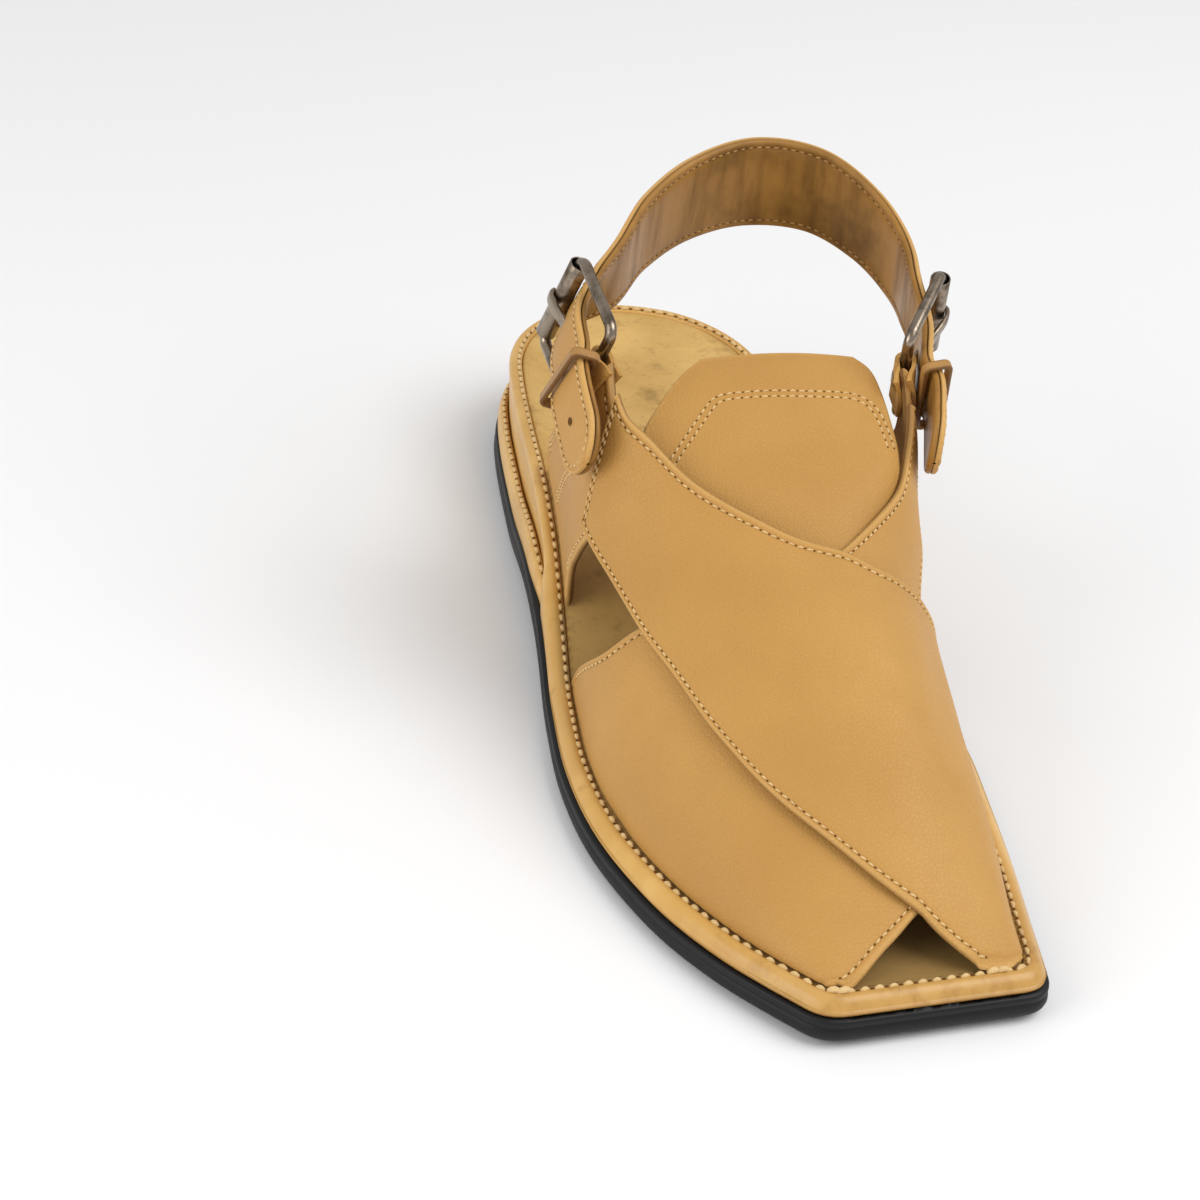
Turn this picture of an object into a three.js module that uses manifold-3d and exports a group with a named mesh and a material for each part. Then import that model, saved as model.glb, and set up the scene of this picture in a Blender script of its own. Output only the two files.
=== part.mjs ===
// Peshawari chappal, a right shoe standing empty on its sole.
// Millimetres, +Z up. The toe points to -Y, the heel to +Y, the medial side to +X.
import * as THREE from 'three';
import { mergeVertices } from 'three/addons/utils/BufferGeometryUtils.js';
import Module from 'manifold-3d';

const wasm = await Module();
wasm.setup();

// Driving dimensions
const GAP = 0.3;
const LATERAL = -1;
const MEDIAL = 1;
const CENTRE_SHIFT = -4.4;

// Outsole edge: x of each side at stations from heel to toe, then the two toe corners.
const OUTLINE = [
  { y: 145, lateral: 2, medial: 2 },
  { y: 141, lateral: -14, medial: 18 },
  { y: 132, lateral: -25.5, medial: 29.5 },
  { y: 118, lateral: -33.2, medial: 37.6 },
  { y: 100, lateral: -36.8, medial: 41 },
  { y: 75, lateral: -39.4, medial: 40.6 },
  { y: 50, lateral: -41.4, medial: 39.8 },
  { y: 25, lateral: -43.2, medial: 41.2 },
  { y: 0, lateral: -46, medial: 45 },
  { y: -25, lateral: -49.2, medial: 48.4 },
  { y: -50, lateral: -51.2, medial: 49.6 },
  { y: -75, lateral: -49.4, medial: 47.4 },
  { y: -100, lateral: -42.6, medial: 44.4 },
  { y: -120, lateral: -33.2, medial: 41.2 },
  { y: -133, lateral: -24.6, medial: 39.15 },
];
const TOE_CORNER = {
  [LATERAL]: new THREE.Vector2(-15.5, -144.8),
  [MEDIAL]: new THREE.Vector2(37.6, -141.3),
};
const TOE_CORNER_ROUND = 6;

// Heights of the sole, each with the stations between which it changes.
const ARCH = { rise: 3.2, foreStart: -22, foreFull: 12, heelFull: 38, heelEnd: 66 };
const TOE_SPRING = { rise: 1.4, from: -100, to: -145 };
const OUTSOLE_THICK = { fore: 6.2, heel: 8.4, from: 10, to: 70 };
const RIM = { fore: 10.2, heel: 30.2, from: -28, to: 56 };
const TOE_LIFT = { rise: 1.6, from: -60, to: -142 };
const HEEL_STEP = { from: 14, to: 25 };
const INSOLE_DROP = 0.8;
const INSOLE_THICK = 1.8;
const INSOLE_ROUND = { inset: 0.6, down: 0.4 };
const RIM_INSET = 6;

// Side of the outsole: how far in from its edge, at a share of its thickness.
const OUTSOLE_SIDE = [
  { inset: 1.6, up: 0 },
  { inset: 0.3, up: 0.18 },
  { inset: 0, up: 0.4 },
  { inset: 0.9, up: 0.66 },
  { inset: 0.4, up: 0.76 },
  { inset: 0.9, up: 1 },
];
// Side of the wrapped platform: inset at the forefoot, more inset at the heel, and height.
const PLATFORM_SIDE = [
  { inset: 1.3, heelInset: 2.1, above: 0 },
  { inset: 1.1, heelInset: 2.3, above: 0.36 },
  { inset: 1.5, heelInset: 1.1, below: 2.2 },
  { inset: 2.4, heelInset: 0.4, below: 0.8 },
  { inset: 3.8, heelInset: 0, below: 0 },
  { inset: 5.4, heelInset: 0, below: 0.15 },
  { inset: RIM_INSET, heelInset: 0, below: 0.5 },
  { inset: RIM_INSET, heelInset: 0, below: INSOLE_DROP + INSOLE_THICK + GAP },
];
// Section of the heel welt, measured up from the outsole.
const WELT_SECTION = [
  { inset: 0.8, up: 0 },
  { inset: 0.6, up: 4.6 },
  { inset: 1.2, up: 6.6 },
  { inset: 2.1, up: 7.2 },
  { inset: 3, up: 6.8 },
  { inset: 3, up: 0 },
];
const WELT_FROM_Y = 24;

// Sections of the last. wall and roof say how full each side stands, lean how far it bulges.
const LAST = [
  { y: -142, crownX: 11, crownZ: 8.5, wallL: 0.4, roofL: 0.6, leanL: 0, wallM: 0.4, roofM: 0.6, leanM: 0 },
  { y: -126, crownX: 9.5, crownZ: 20, wallL: 0.45, roofL: 0.6, leanL: 0, wallM: 0.42, roofM: 0.5, leanM: -1 },
  { y: -100, crownX: 10.5, crownZ: 34.5, wallL: 0.45, roofL: 0.55, leanL: 0, wallM: 0.4, roofM: 0.46,
    leanM: -2 },
  { y: -70, crownX: 11.5, crownZ: 49, wallL: 0.5, roofL: 0.54, leanL: 1, wallM: 0.42, roofM: 0.42,
    leanM: -4 },
  { y: -41, crownX: 12, crownZ: 60, wallL: 0.58, roofL: 0.6, leanL: 2, wallM: 0.56, roofM: 0.48, leanM: -3 },
  { y: -14, crownX: 12, crownZ: 78, wallL: 0.72, roofL: 0.76, leanL: 3, wallM: 0.8, roofM: 0.82, leanM: 8 },
  { y: 14, crownX: 11, crownZ: 106, wallL: 0.84, roofL: 0.9, leanL: 3, wallM: 0.9, roofM: 1.12, leanM: 18 },
  { y: 42, crownX: 8, crownZ: 121, wallL: 0.85, roofL: 0.92, leanL: 2, wallM: 0.9, roofM: 1.14, leanM: 16 },
  { y: 70, crownX: 5, crownZ: 130, wallL: 0.85, roofL: 0.92, leanL: 1, wallM: 0.9, roofM: 1.1, leanM: 11 },
];
const FEATHER_INSET = 8.3;
const FEATHER_UP = 0.6;

// Upper: edges of each piece on the last, as station y and girth v (0 crown, -1 and 1 the feather).
const WALL = 2;
const OVERLAY = { lift: 1.5, fromGirth: 0.95, fullGirth: 0.55, fromY: -137, fullY: -120 };
const OVER_BAND = [
  { frontY: -9, frontV: -0.715, backY: 2, backV: -0.5 },
  { frontY: -20, frontV: -0.66, backY: -3, backV: -0.475 },
  { frontY: -36, frontV: -0.592, backY: -10, backV: -0.405 },
  { frontY: -58, frontV: -0.525, backY: -22, backV: -0.305 },
  { frontY: -80, frontV: -0.465, backY: -33, backV: -0.185 },
  { frontY: -100, frontV: -0.365, backY: -41, backV: -0.065 },
  { frontY: -118, frontV: -0.17, backY: -46.8, backV: 0.13 },
  { frontY: -128, frontV: 0.03, backY: -46.3, backV: 0.31 },
  { frontY: -133, frontV: 0.2, backY: -44, backV: 0.46 },
  { frontY: -135.6, frontV: 0.33, backY: -42.8, backV: 0.55 },
  { frontY: -136.8, frontV: 0.41, backY: -41.2, backV: 0.64 },
  { frontY: -136.8, frontV: 0.72, backY: -37, backV: 0.8 },
  { frontY: -135, frontV: 1, backY: -25, backV: 1 },
];
const UNDER_BAND = [
  { frontY: -8, frontV: 0.72, backY: -1, backV: 0.54 },
  { frontY: -22, frontV: 0.67, backY: -6, backV: 0.52 },
  { frontY: -38, frontV: 0.6, backY: -12, backV: 0.48 },
  { frontY: -60, frontV: 0.53, backY: -21, backV: 0.405 },
  { frontY: -82, frontV: 0.455, backY: -30, backV: 0.27 },
  { frontY: -103, frontV: 0.34, backY: -38, backV: 0.115 },
  { frontY: -118, frontV: 0.2, backY: -43, backV: -0.03 },
  { frontY: -127.5, frontV: -0.045, backY: -46, backV: -0.22 },
  { frontY: -132, frontV: -0.22, backY: -46, backV: -0.42 },
  { frontY: -136.4, frontV: -0.48, backY: -42, backV: -0.575 },
  { frontY: -138.4, frontV: -0.74, backY: -36, backV: -0.765 },
  { frontY: -137.2, frontV: -1, backY: -18, backV: -1 },
];
// Quarters, from the sole up to the tab that holds the buckle, as station y and height z.
const QUARTERS = {
  [LATERAL]: [
    { frontY: 10, frontZ: 0, rearY: 54, rearZ: 0 },
    { frontY: 3.5, frontZ: 27, rearY: 51, rearZ: 36.5 },
    { frontY: -4, frontZ: 38, rearY: 46, rearZ: 44.5 },
    { frontY: -11, frontZ: 48, rearY: 38.5, rearZ: 52 },
    { frontY: -15, frontZ: 56, rearY: 26, rearZ: 58.5 },
    { frontY: -10, frontZ: 66, rearY: 14.5, rearZ: 61.5 },
    { frontY: 0.6, frontZ: 74.6, rearY: 12.8, rearZ: 65 },
    { frontY: 9.3, frontZ: 83.4, rearY: 14.1, rearZ: 70.2 },
  ],
  [MEDIAL]: [
    { frontY: 12, frontZ: 0, rearY: 52, rearZ: 0 },
    { frontY: 8, frontZ: 28, rearY: 49, rearZ: 36 },
    { frontY: 1, frontZ: 39, rearY: 43, rearZ: 43 },
    { frontY: -8, frontZ: 46, rearY: 35, rearZ: 50 },
    { frontY: -14, frontZ: 54, rearY: 23, rearZ: 56 },
    { frontY: -9, frontZ: 64, rearY: 12.5, rearZ: 58.8 },
    { frontY: -1, frontZ: 73, rearY: 8.6, rearZ: 62.8 },
    { frontY: 3.9, frontZ: 82.2, rearY: 7.9, rearZ: 68.8 },
  ],
};
const MEDIAL_SINK = { lift: -1.1, fromGirth: 0.98, fullGirth: 0.8 };

// Tongue: stations from under the crossing to its top edge, with the x of each edge.
const TONGUE_THICK = 1.8;
const TONGUE = [
  { y: -72, left: -3, right: 25, crownZ: 62 },
  { y: -50, left: -13, right: 31, crownZ: 62.5 },
  { y: -30, left: -20, right: 33.5, crownZ: 66.5 },
  { y: -15, left: -25.5, right: 35, crownZ: 71 },
  { y: -4, left: -27, right: 35.5, crownZ: 74.6 },
  { y: 6, left: -20, right: 35.5, crownZ: 78 },
  { y: 13, left: -13.2, right: 34.5, crownZ: 80 },
  { y: 17, left: -7.5, right: 31, crownZ: 80.9 },
];
const TONGUE_ARCH = { centreX: 9, half: 28, sag: 3 };
const TONGUE_CLEAR = 0.6;
const TONGUE_BLEND = 1.6;

// Buckles: the bar's place on each quarter, the slope of the strap and the turn of the frame.
const BUCKLES = {
  [LATERAL]: { name: 'lateral', y: 15.2, z: 77.8, slope: 19, splay: 8 },
  [MEDIAL]: { name: 'medial', y: 9.6, z: 76.4, slope: 19, splay: 31 },
};
// Strap ends: the tip's slope and how far it stands off, the keeper's place past the bar, and how full
// the strap stands inside the frame, as a share of its height on the bar.
const STRAP_ENDS = {
  [LATERAL]: { slope: 32, flare: 3.2, keeperAt: 2.8, full: 0.45 },
  [MEDIAL]: { slope: 26, flare: 1, keeperAt: 5.6, full: 0.2 },
};
const FRAME_LENGTH = 24;
const FRAME_WIDTH = 28;
const FRAME_ROUND = 3;
const WIRE_RADIUS = 1.45;
const ROLLER_RADIUS = 2.5;
const ROLLER_BORE = 1.8;
const ROLLER_LENGTH = 21.8;
const PRONG_HALF = 1;
const PRONG_EYE_HALF = 1.6;
const PRONG_WAY = [
  { a: -2.3, h: 0 },
  { a: -7, h: 0.5 },
  { a: -12, h: 1.8 },
  { a: -20, h: 3.5 },
  { a: -24, h: 3.9 },
  { a: -26.6, h: 3 },
];
const PRONG_HOLE = { from: -20, to: -4.8, half: 2, low: -4.5, high: 7 };
const CHAPE_WIDTH = 13;
const CHAPE_LENGTH = 7;
const CHAPE_THICK = 1.1;
const CHAPE_NECK = 5;
const CHAPE_SLOT = { width: 4.6, from: -6, to: 4, reach: 6 };
const KEEPER_WIDTH = 2.6;
const KEEPER_THICK = 1.3;
const KEEPER_ROUND = 1.4;

// Heel strap: thickness, width at the buckles, length of a tip past its bar, and the way round the heel
// from lateral to medial, with half its width and how far its top leans to the toe.
const STRAP_THICK = 3;
const STRAP_WIDTH = 19;
const TIP_LENGTH = 26;
const TIP_ROUND = 9;
const TIP_KNEE = 0.66;
const HEEL_WAY = [
  { x: -22.6, y: 48, z: 87.2, half: 9.8, lean: 8 },
  { x: -12, y: 62, z: 91.5, half: 10.8, lean: 4 },
  { x: 3, y: 74, z: 95, half: 12, lean: 5 },
  { x: 20, y: 79, z: 97, half: 12.6, lean: 5 },
  { x: 36, y: 75, z: 96, half: 12, lean: 5 },
  { x: 47, y: 63, z: 91.5, half: 10.8, lean: 4 },
  { x: 52, y: 48, z: 86.4, half: 9.8, lean: 8 },
];

// Colours
const MATERIALS = {
  leather: { color: 0xc99b5c, roughness: 0.55, metalness: 0 },
  wrap: { color: 0xc2933f, roughness: 0.5, metalness: 0 },
  footbed: { color: 0xa58a52, roughness: 0.7, metalness: 0 },
  rubber: { color: 0x242628, roughness: 0.6, metalness: 0 },
  nickel: { color: 0x8d857b, roughness: 0.3, metalness: 1 },
};

// A smooth curve through one column of a table, read at station y.
function column(table, name, y) {
  const last = table.length - 1;
  const rising = table[last].y > table[0].y;
  const rows = rising ? table : [...table].reverse();
  const at = THREE.MathUtils.clamp(y, rows[0].y, rows[last].y);
  let i = 0;
  while (i < last - 1 && rows[i + 1].y < at) i += 1;
  const slope = (k) => {
    const before = rows[Math.max(k - 1, 0)];
    const after = rows[Math.min(k + 1, last)];
    return (after[name] - before[name]) / (after.y - before.y);
  };
  const span = rows[i + 1].y - rows[i].y;
  const t = (at - rows[i].y) / span;
  const rise = t * t * (3 - 2 * t);
  const pull = slope(i) * (t ** 3 - 2 * t * t + t) + slope(i + 1) * (t ** 3 - t * t);
  return rows[i][name] * (1 - rise) + rows[i + 1][name] * rise + span * pull;
}

function smooth(value, from, to) {
  const t = THREE.MathUtils.clamp((value - from) / (to - from), 0, 1);
  return t * t * (3 - 2 * t);
}

// Heights along the sole
function bottomZ(y) {
  const arch = smooth(y, ARCH.foreStart, ARCH.foreFull) * smooth(y, ARCH.heelEnd, ARCH.heelFull);
  return ARCH.rise * arch + TOE_SPRING.rise * smooth(y, TOE_SPRING.from, TOE_SPRING.to);
}

function outsoleTop(y) {
  const { fore, heel, from, to } = OUTSOLE_THICK;
  return bottomZ(y) + fore + (heel - fore) * smooth(y, from, to);
}

function rimTop(y) {
  const { fore, heel, from, to } = RIM;
  return fore + (heel - fore) * smooth(y, from, to) + TOE_LIFT.rise * smooth(y, TOE_LIFT.from, TOE_LIFT.to);
}

// Outline of the sole: one side from the heel to the middle of the toe, then the loop of both.
// The curve starts on the other side of the heel, so that the two halves meet without a corner.
function sideStations(side, perRow) {
  const [key, other] = side === LATERAL ? ['lateral', 'medial'] : ['medial', 'lateral'];
  const points = OUTLINE.map((row) => new THREE.Vector2(row[key], row.y));
  points.unshift(new THREE.Vector2(OUTLINE[1][other], OUTLINE[1].y));
  return new THREE.SplineCurve(points).getPoints(perRow * (points.length - 1)).slice(perRow);
}

function halfOutline(side) {
  const points = sideStations(side, 2);
  const corner = TOE_CORNER[side];
  const middle = TOE_CORNER[LATERAL].clone().lerp(TOE_CORNER[MEDIAL], 0.5);
  const from = points[points.length - 1].clone().sub(corner).setLength(TOE_CORNER_ROUND).add(corner);
  const to = middle.clone().sub(corner).setLength(TOE_CORNER_ROUND).add(corner);
  const round = new THREE.QuadraticBezierCurve(from, corner, to).getPoints(4);
  const toe = new THREE.LineCurve(to, middle).getPoints(2).slice(1);
  return [...points, ...round, ...toe];
}

const HALF = { [LATERAL]: halfOutline(LATERAL), [MEDIAL]: halfOutline(MEDIAL) };
const LOOP = [...HALF[LATERAL], ...HALF[MEDIAL].slice(1, -1).reverse()];

function outward(points, i) {
  const before = points[(i + points.length - 1) % points.length];
  const after = points[(i + 1) % points.length];
  const along = after.clone().sub(before).normalize();
  return new THREE.Vector2(along.y, -along.x);
}

const OUTWARD = LOOP.map((point, i) => outward(LOOP, i));

function loopPoint(i, inset) {
  return LOOP[i].clone().addScaledVector(OUTWARD[i], -inset);
}

// Meshes: vertices and triangles become a geometry whose faces point out.
function solid(vertices, triangles) {
  let volume = 0;
  const edge = new THREE.Vector3();
  for (let i = 0; i < triangles.length; i += 3) {
    const [a, b, c] = [vertices[triangles[i]], vertices[triangles[i + 1]], vertices[triangles[i + 2]]];
    volume += a.dot(edge.crossVectors(b, c));
  }
  const faces = volume < 0 ? [...triangles].reverse() : triangles;
  const geometry = new THREE.BufferGeometry();
  geometry.setFromPoints(vertices);
  geometry.setIndex(faces);
  geometry.computeVertexNormals();
  return geometry;
}

// A sheet between an outer and an inner surface, each given at u and v from 0 to 1.
function sheet(across, along, outer, inner) {
  const vertices = [];
  const triangles = [];
  const layer = (across + 1) * (along + 1);
  for (const surface of [outer, inner]) {
    for (let j = 0; j <= along; j += 1) {
      for (let i = 0; i <= across; i += 1) vertices.push(surface(i / across, j / along));
    }
  }
  const at = (i, j, k) => k * layer + j * (across + 1) + i;
  const quad = (a, b, c, d) => triangles.push(a, b, c, a, c, d);
  for (let j = 0; j < along; j += 1) {
    for (let i = 0; i < across; i += 1) {
      quad(at(i, j, 0), at(i + 1, j, 0), at(i + 1, j + 1, 0), at(i, j + 1, 0));
      quad(at(i, j, 1), at(i, j + 1, 1), at(i + 1, j + 1, 1), at(i + 1, j, 1));
    }
    quad(at(0, j, 0), at(0, j + 1, 0), at(0, j + 1, 1), at(0, j, 1));
    quad(at(across, j, 0), at(across, j, 1), at(across, j + 1, 1), at(across, j + 1, 0));
  }
  for (let i = 0; i < across; i += 1) {
    quad(at(i, 0, 0), at(i, 0, 1), at(i + 1, 0, 1), at(i + 1, 0, 0));
    quad(at(i, along, 0), at(i + 1, along, 0), at(i + 1, along, 1), at(i, along, 1));
  }
  return solid(vertices, triangles);
}

// A bar of closed sections, closed at its ends by the section's outline, or joined as a ring.
function loft(sections, outline) {
  const count = sections[0].length;
  const vertices = sections.flat();
  const triangles = [];
  const steps = outline ? sections.length - 1 : sections.length;
  for (let j = 0; j < steps; j += 1) {
    const next = (j + 1) % sections.length;
    for (let i = 0; i < count; i += 1) {
      const k = (i + 1) % count;
      const [a, b, c, d] = [j * count + i, j * count + k, next * count + k, next * count + i];
      triangles.push(a, b, c, a, c, d);
    }
  }
  if (outline) {
    const end = (sections.length - 1) * count;
    for (const face of THREE.ShapeUtils.triangulateShape(outline, [])) {
      const [i, j, k] = THREE.ShapeUtils.area(outline) < 0 ? face.reverse() : face;
      triangles.push(i, k, j);
      triangles.push(end + i, end + j, end + k);
    }
  }
  return solid(vertices, triangles);
}

// A slab of rings that follow the sole's loop, closed across from side to side.
function slab(rings) {
  const count = LOOP.length;
  const middle = count / 2;
  const vertices = rings.flat();
  const triangles = [];
  for (let j = 0; j < rings.length - 1; j += 1) {
    for (let i = 0; i < count; i += 1) {
      const k = (i + 1) % count;
      const [a, b, c, d] = [j * count + i, j * count + k, (j + 1) * count + k, (j + 1) * count + i];
      triangles.push(a, b, c, a, c, d);
    }
  }
  const lid = (j, flip) => {
    for (let k = 0; k < middle; k += 1) {
      const corners = [k, k + 1, count - k - 1, (count - k) % count].map((i) => j * count + i);
      const [a, b, c, d] = flip ? corners.reverse() : corners;
      if (b !== c) triangles.push(a, b, c);
      if (d !== a) triangles.push(a, c, d);
    }
  };
  lid(0, true);
  lid(rings.length - 1, false);
  return solid(vertices, triangles);
}

function ringAt(inset, height) {
  return LOOP.map((point, i) => {
    const at = loopPoint(i, typeof inset === 'function' ? inset(point.y) : inset);
    return new THREE.Vector3(at.x, at.y, height(at.y));
  });
}

// Joining and cutting
function toManifold(geometry) {
  const vertProperties = new Float32Array(geometry.attributes.position.array);
  const triVerts = new Uint32Array(geometry.index.array);
  return new wasm.Manifold(new wasm.Mesh({ numProp: 3, vertProperties, triVerts }));
}

function fromManifold(manifold) {
  const mesh = manifold.getMesh();
  const geometry = new THREE.BufferGeometry();
  geometry.setAttribute('position', new THREE.BufferAttribute(new Float32Array(mesh.vertProperties), 3));
  geometry.setIndex(new THREE.BufferAttribute(new Uint32Array(mesh.triVerts), 1));
  geometry.computeVertexNormals();
  return geometry;
}

// Sole pieces
function outsole() {
  return slab(OUTSOLE_SIDE.map((row) => ringAt(row.inset, (y) => {
    return bottomZ(y) + row.up * (outsoleTop(y) - bottomZ(y));
  })));
}

function platform() {
  const heel = (y) => smooth(y, HEEL_STEP.from, HEEL_STEP.to);
  const height = (row, y) => {
    const low = outsoleTop(y) + GAP;
    return row.below === undefined ? low + row.above * (rimTop(y) - low) : rimTop(y) - row.below;
  };
  return slab(PLATFORM_SIDE.map((row) => {
    return ringAt((y) => row.inset + row.heelInset * heel(y), (y) => height(row, y));
  }));
}

function insole() {
  const edge = RIM_INSET + GAP;
  const top = (y) => rimTop(y) - INSOLE_DROP;
  return slab([
    ringAt(edge, (y) => top(y) - INSOLE_THICK),
    ringAt(edge, (y) => top(y) - INSOLE_ROUND.down),
    ringAt(edge + INSOLE_ROUND.inset, top),
  ]);
}

function heelWelt() {
  const count = LOOP.length;
  const first = LOOP.findIndex((point) => point.y < WELT_FROM_Y) - 1;
  const stations = [];
  for (let i = first; i > first - count && LOOP[(i + count) % count].y >= WELT_FROM_Y; i -= 1) {
    stations.push((i + count) % count);
  }
  return loft(stations.map((i) => WELT_SECTION.map((row) => {
    const at = loopPoint(i, row.inset);
    return new THREE.Vector3(at.x, at.y, outsoleTop(at.y) + GAP + row.up);
  })), WELT_SECTION.map((row) => new THREE.Vector2(row.inset, row.up)));
}

// The last
const FEATHER = {};
for (const side of [LATERAL, MEDIAL]) {
  const points = [...sideStations(side, 6), TOE_CORNER[side]];
  const turned = side === LATERAL ? 1 : -1;
  FEATHER[side] = points.map((point, i) => {
    const before = points[Math.max(i - 1, 0)];
    const after = points[Math.min(i + 1, points.length - 1)];
    const along = after.clone().sub(before).normalize();
    return new THREE.Vector2(along.y, -along.x).multiplyScalar(-turned * FEATHER_INSET).add(point);
  });
}

function featherX(side, y) {
  const points = FEATHER[side];
  let i = 0;
  while (i < points.length - 2 && points[i + 1].y > y) i += 1;
  const t = (y - points[i].y) / (points[i + 1].y - points[i].y);
  return THREE.MathUtils.lerp(points[i].x, points[i + 1].x, t);
}

function lastSkin(y, v) {
  const side = v < 0 ? LATERAL : MEDIAL;
  const mark = v < 0 ? 'L' : 'M';
  const t = Math.abs(v);
  const crownX = column(LAST, 'crownX', y);
  const base = rimTop(y) - INSOLE_DROP + FEATHER_UP;
  const width = featherX(side, y) - crownX;
  const height = column(LAST, 'crownZ', y) - base;
  const bulge = side * column(LAST, `lean${mark}`, y);
  const near = 3 * (1 - t) * (1 - t) * t;
  const far = 3 * (1 - t) * t * t;
  const x = crownX + near * column(LAST, `roof${mark}`, y) * width + far * (width + bulge) + t ** 3 * width;
  const z = base + height * ((1 - t) ** 3 + near + far * column(LAST, `wall${mark}`, y));
  return new THREE.Vector3(x, y, z);
}

function lastNormal(y, v) {
  const stepV = 0.004;
  const girth = THREE.MathUtils.clamp(v, stepV - 1, 1 - stepV);
  const alongY = lastSkin(y + 0.5, girth).sub(lastSkin(y - 0.5, girth));
  const alongV = lastSkin(y, girth + stepV).sub(lastSkin(y, girth - stepV));
  return alongV.cross(alongY).normalize();
}

function lastPoint(y, v, lift) {
  return lastSkin(y, v).addScaledVector(lastNormal(y, v), lift);
}

// The girth at which the last's wall reaches a height, or at which its roof reaches an x.
function girthWhere(y, low, high, reached) {
  let [from, to] = [low, high];
  for (let step = 0; step < 26; step += 1) {
    const middle = (from + to) / 2;
    if (reached(lastSkin(y, middle))) to = middle;
    else from = middle;
  }
  return (from + to) / 2;
}

function wallGirth(side, y, z) {
  return girthWhere(y, 0.05 * side, side, (point) => point.z < z);
}

// Upper
function band(rows, lift) {
  const front = new THREE.SplineCurve(rows.map((row) => new THREE.Vector2(row.frontY, row.frontV)));
  const back = new THREE.SplineCurve(rows.map((row) => new THREE.Vector2(row.backY, row.backV)));
  const surface = (raise) => (u, v) => {
    const at = front.getPoint(v).lerp(back.getPoint(v), u);
    return lastPoint(at.x, at.y, lift(at.x, at.y) + raise);
  };
  return sheet(9, 33, surface(WALL), surface(0));
}

function quarter(side) {
  const rows = QUARTERS[side];
  const front = new THREE.SplineCurve(rows.map((row) => new THREE.Vector2(row.frontY, row.frontZ)));
  const rear = new THREE.SplineCurve(rows.map((row) => new THREE.Vector2(row.rearY, row.rearZ)));
  const { lift, fromGirth, fullGirth } = MEDIAL_SINK;
  const sink = (girth) => (side === MEDIAL ? lift * smooth(girth, fromGirth, fullGirth) : 0);
  const surface = (raise) => (u, v) => {
    const at = front.getPoint(v).lerp(rear.getPoint(v), u);
    const girth = v === 0 ? side : wallGirth(side, at.x, at.y);
    return lastPoint(at.x, girth, sink(girth) + raise);
  };
  return sheet(6, 14, surface(WALL), surface(0));
}

function upper() {
  const { lift, fromGirth, fullGirth, fromY, fullY } = OVERLAY;
  const over = band(OVER_BAND, (y, girth) => {
    return lift * smooth(girth, fromGirth, fullGirth) * smooth(y, fromY, fullY);
  });
  const under = band(UNDER_BAND, () => 0);
  const pieces = [over, under, quarter(LATERAL), quarter(MEDIAL)].map(toManifold);
  return fromManifold(pieces.reduce((whole, piece) => whole.add(piece)));
}

// The tongue lies under the bands and is free of the last behind them.
function tongue() {
  const roofZ = (y, x) => {
    const side = x < column(LAST, 'crownX', y) ? LATERAL : MEDIAL;
    const girth = girthWhere(y, 0, side, (point) => (point.x - x) * side > 0);
    return lastSkin(y, girth).z;
  };
  const topZ = (y, x) => {
    const across = (x - TONGUE_ARCH.centreX) / TONGUE_ARCH.half;
    const free = column(TONGUE, 'crownZ', y) - TONGUE_ARCH.sag * across * across;
    const under = roofZ(y, x) - TONGUE_CLEAR;
    return (free + under - Math.hypot(free - under, TONGUE_BLEND)) / 2;
  };
  const surface = (drop) => (u, v) => {
    const y = THREE.MathUtils.lerp(TONGUE[0].y, TONGUE[TONGUE.length - 1].y, v);
    const x = THREE.MathUtils.lerp(column(TONGUE, 'left', y), column(TONGUE, 'right', y), u);
    return new THREE.Vector3(x, y, topZ(y, x) - drop);
  };
  return sheet(12, 20, surface(0), surface(TONGUE_THICK));
}

// Buckle places: u runs along the strap to its tip, w down across it, n out from the foot.
// The flat basis lies on the quarter, the turned one on the frame, which swings about its bar.
function buckleBasis(side) {
  const { y, z, slope, splay } = BUCKLES[side];
  const girth = wallGirth(side, y, z);
  const n = lastNormal(y, girth);
  const pitch = THREE.MathUtils.degToRad(slope);
  const u = new THREE.Vector3(0, -Math.cos(pitch), -Math.sin(pitch)).projectOnPlane(n).normalize();
  const w = n.clone().cross(u).multiplyScalar(side).normalize();
  const centre = lastPoint(y, girth, tabMiddle(side));
  const swing = THREE.MathUtils.degToRad(splay);
  const turnedU = u.clone().multiplyScalar(Math.cos(swing)).addScaledVector(n, -Math.sin(swing));
  const turnedN = n.clone().multiplyScalar(Math.cos(swing)).addScaledVector(u, Math.sin(swing));
  return { flat: { centre, u, w, n }, turned: { centre, u: turnedU, w, n: turnedN } };
}

function tabMiddle(side) {
  return WALL / 2 + (side === MEDIAL ? MEDIAL_SINK.lift : 0);
}

const BASIS = { [LATERAL]: buckleBasis(LATERAL), [MEDIAL]: buckleBasis(MEDIAL) };

function spot({ centre, u, w, n }, a, b, h) {
  return centre.clone().addScaledVector(u, a).addScaledVector(w, b).addScaledVector(n, h);
}

// A point near the quarter's tab that follows the curve of the wall.
function onWall(side, a, b, h) {
  const { u, w } = BASIS[side].flat;
  const y = BUCKLES[side].y + a * u.y + b * w.y;
  const z = BUCKLES[side].z + a * u.z + b * w.z;
  return lastPoint(y, wallGirth(side, y, z), tabMiddle(side) + h);
}

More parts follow.
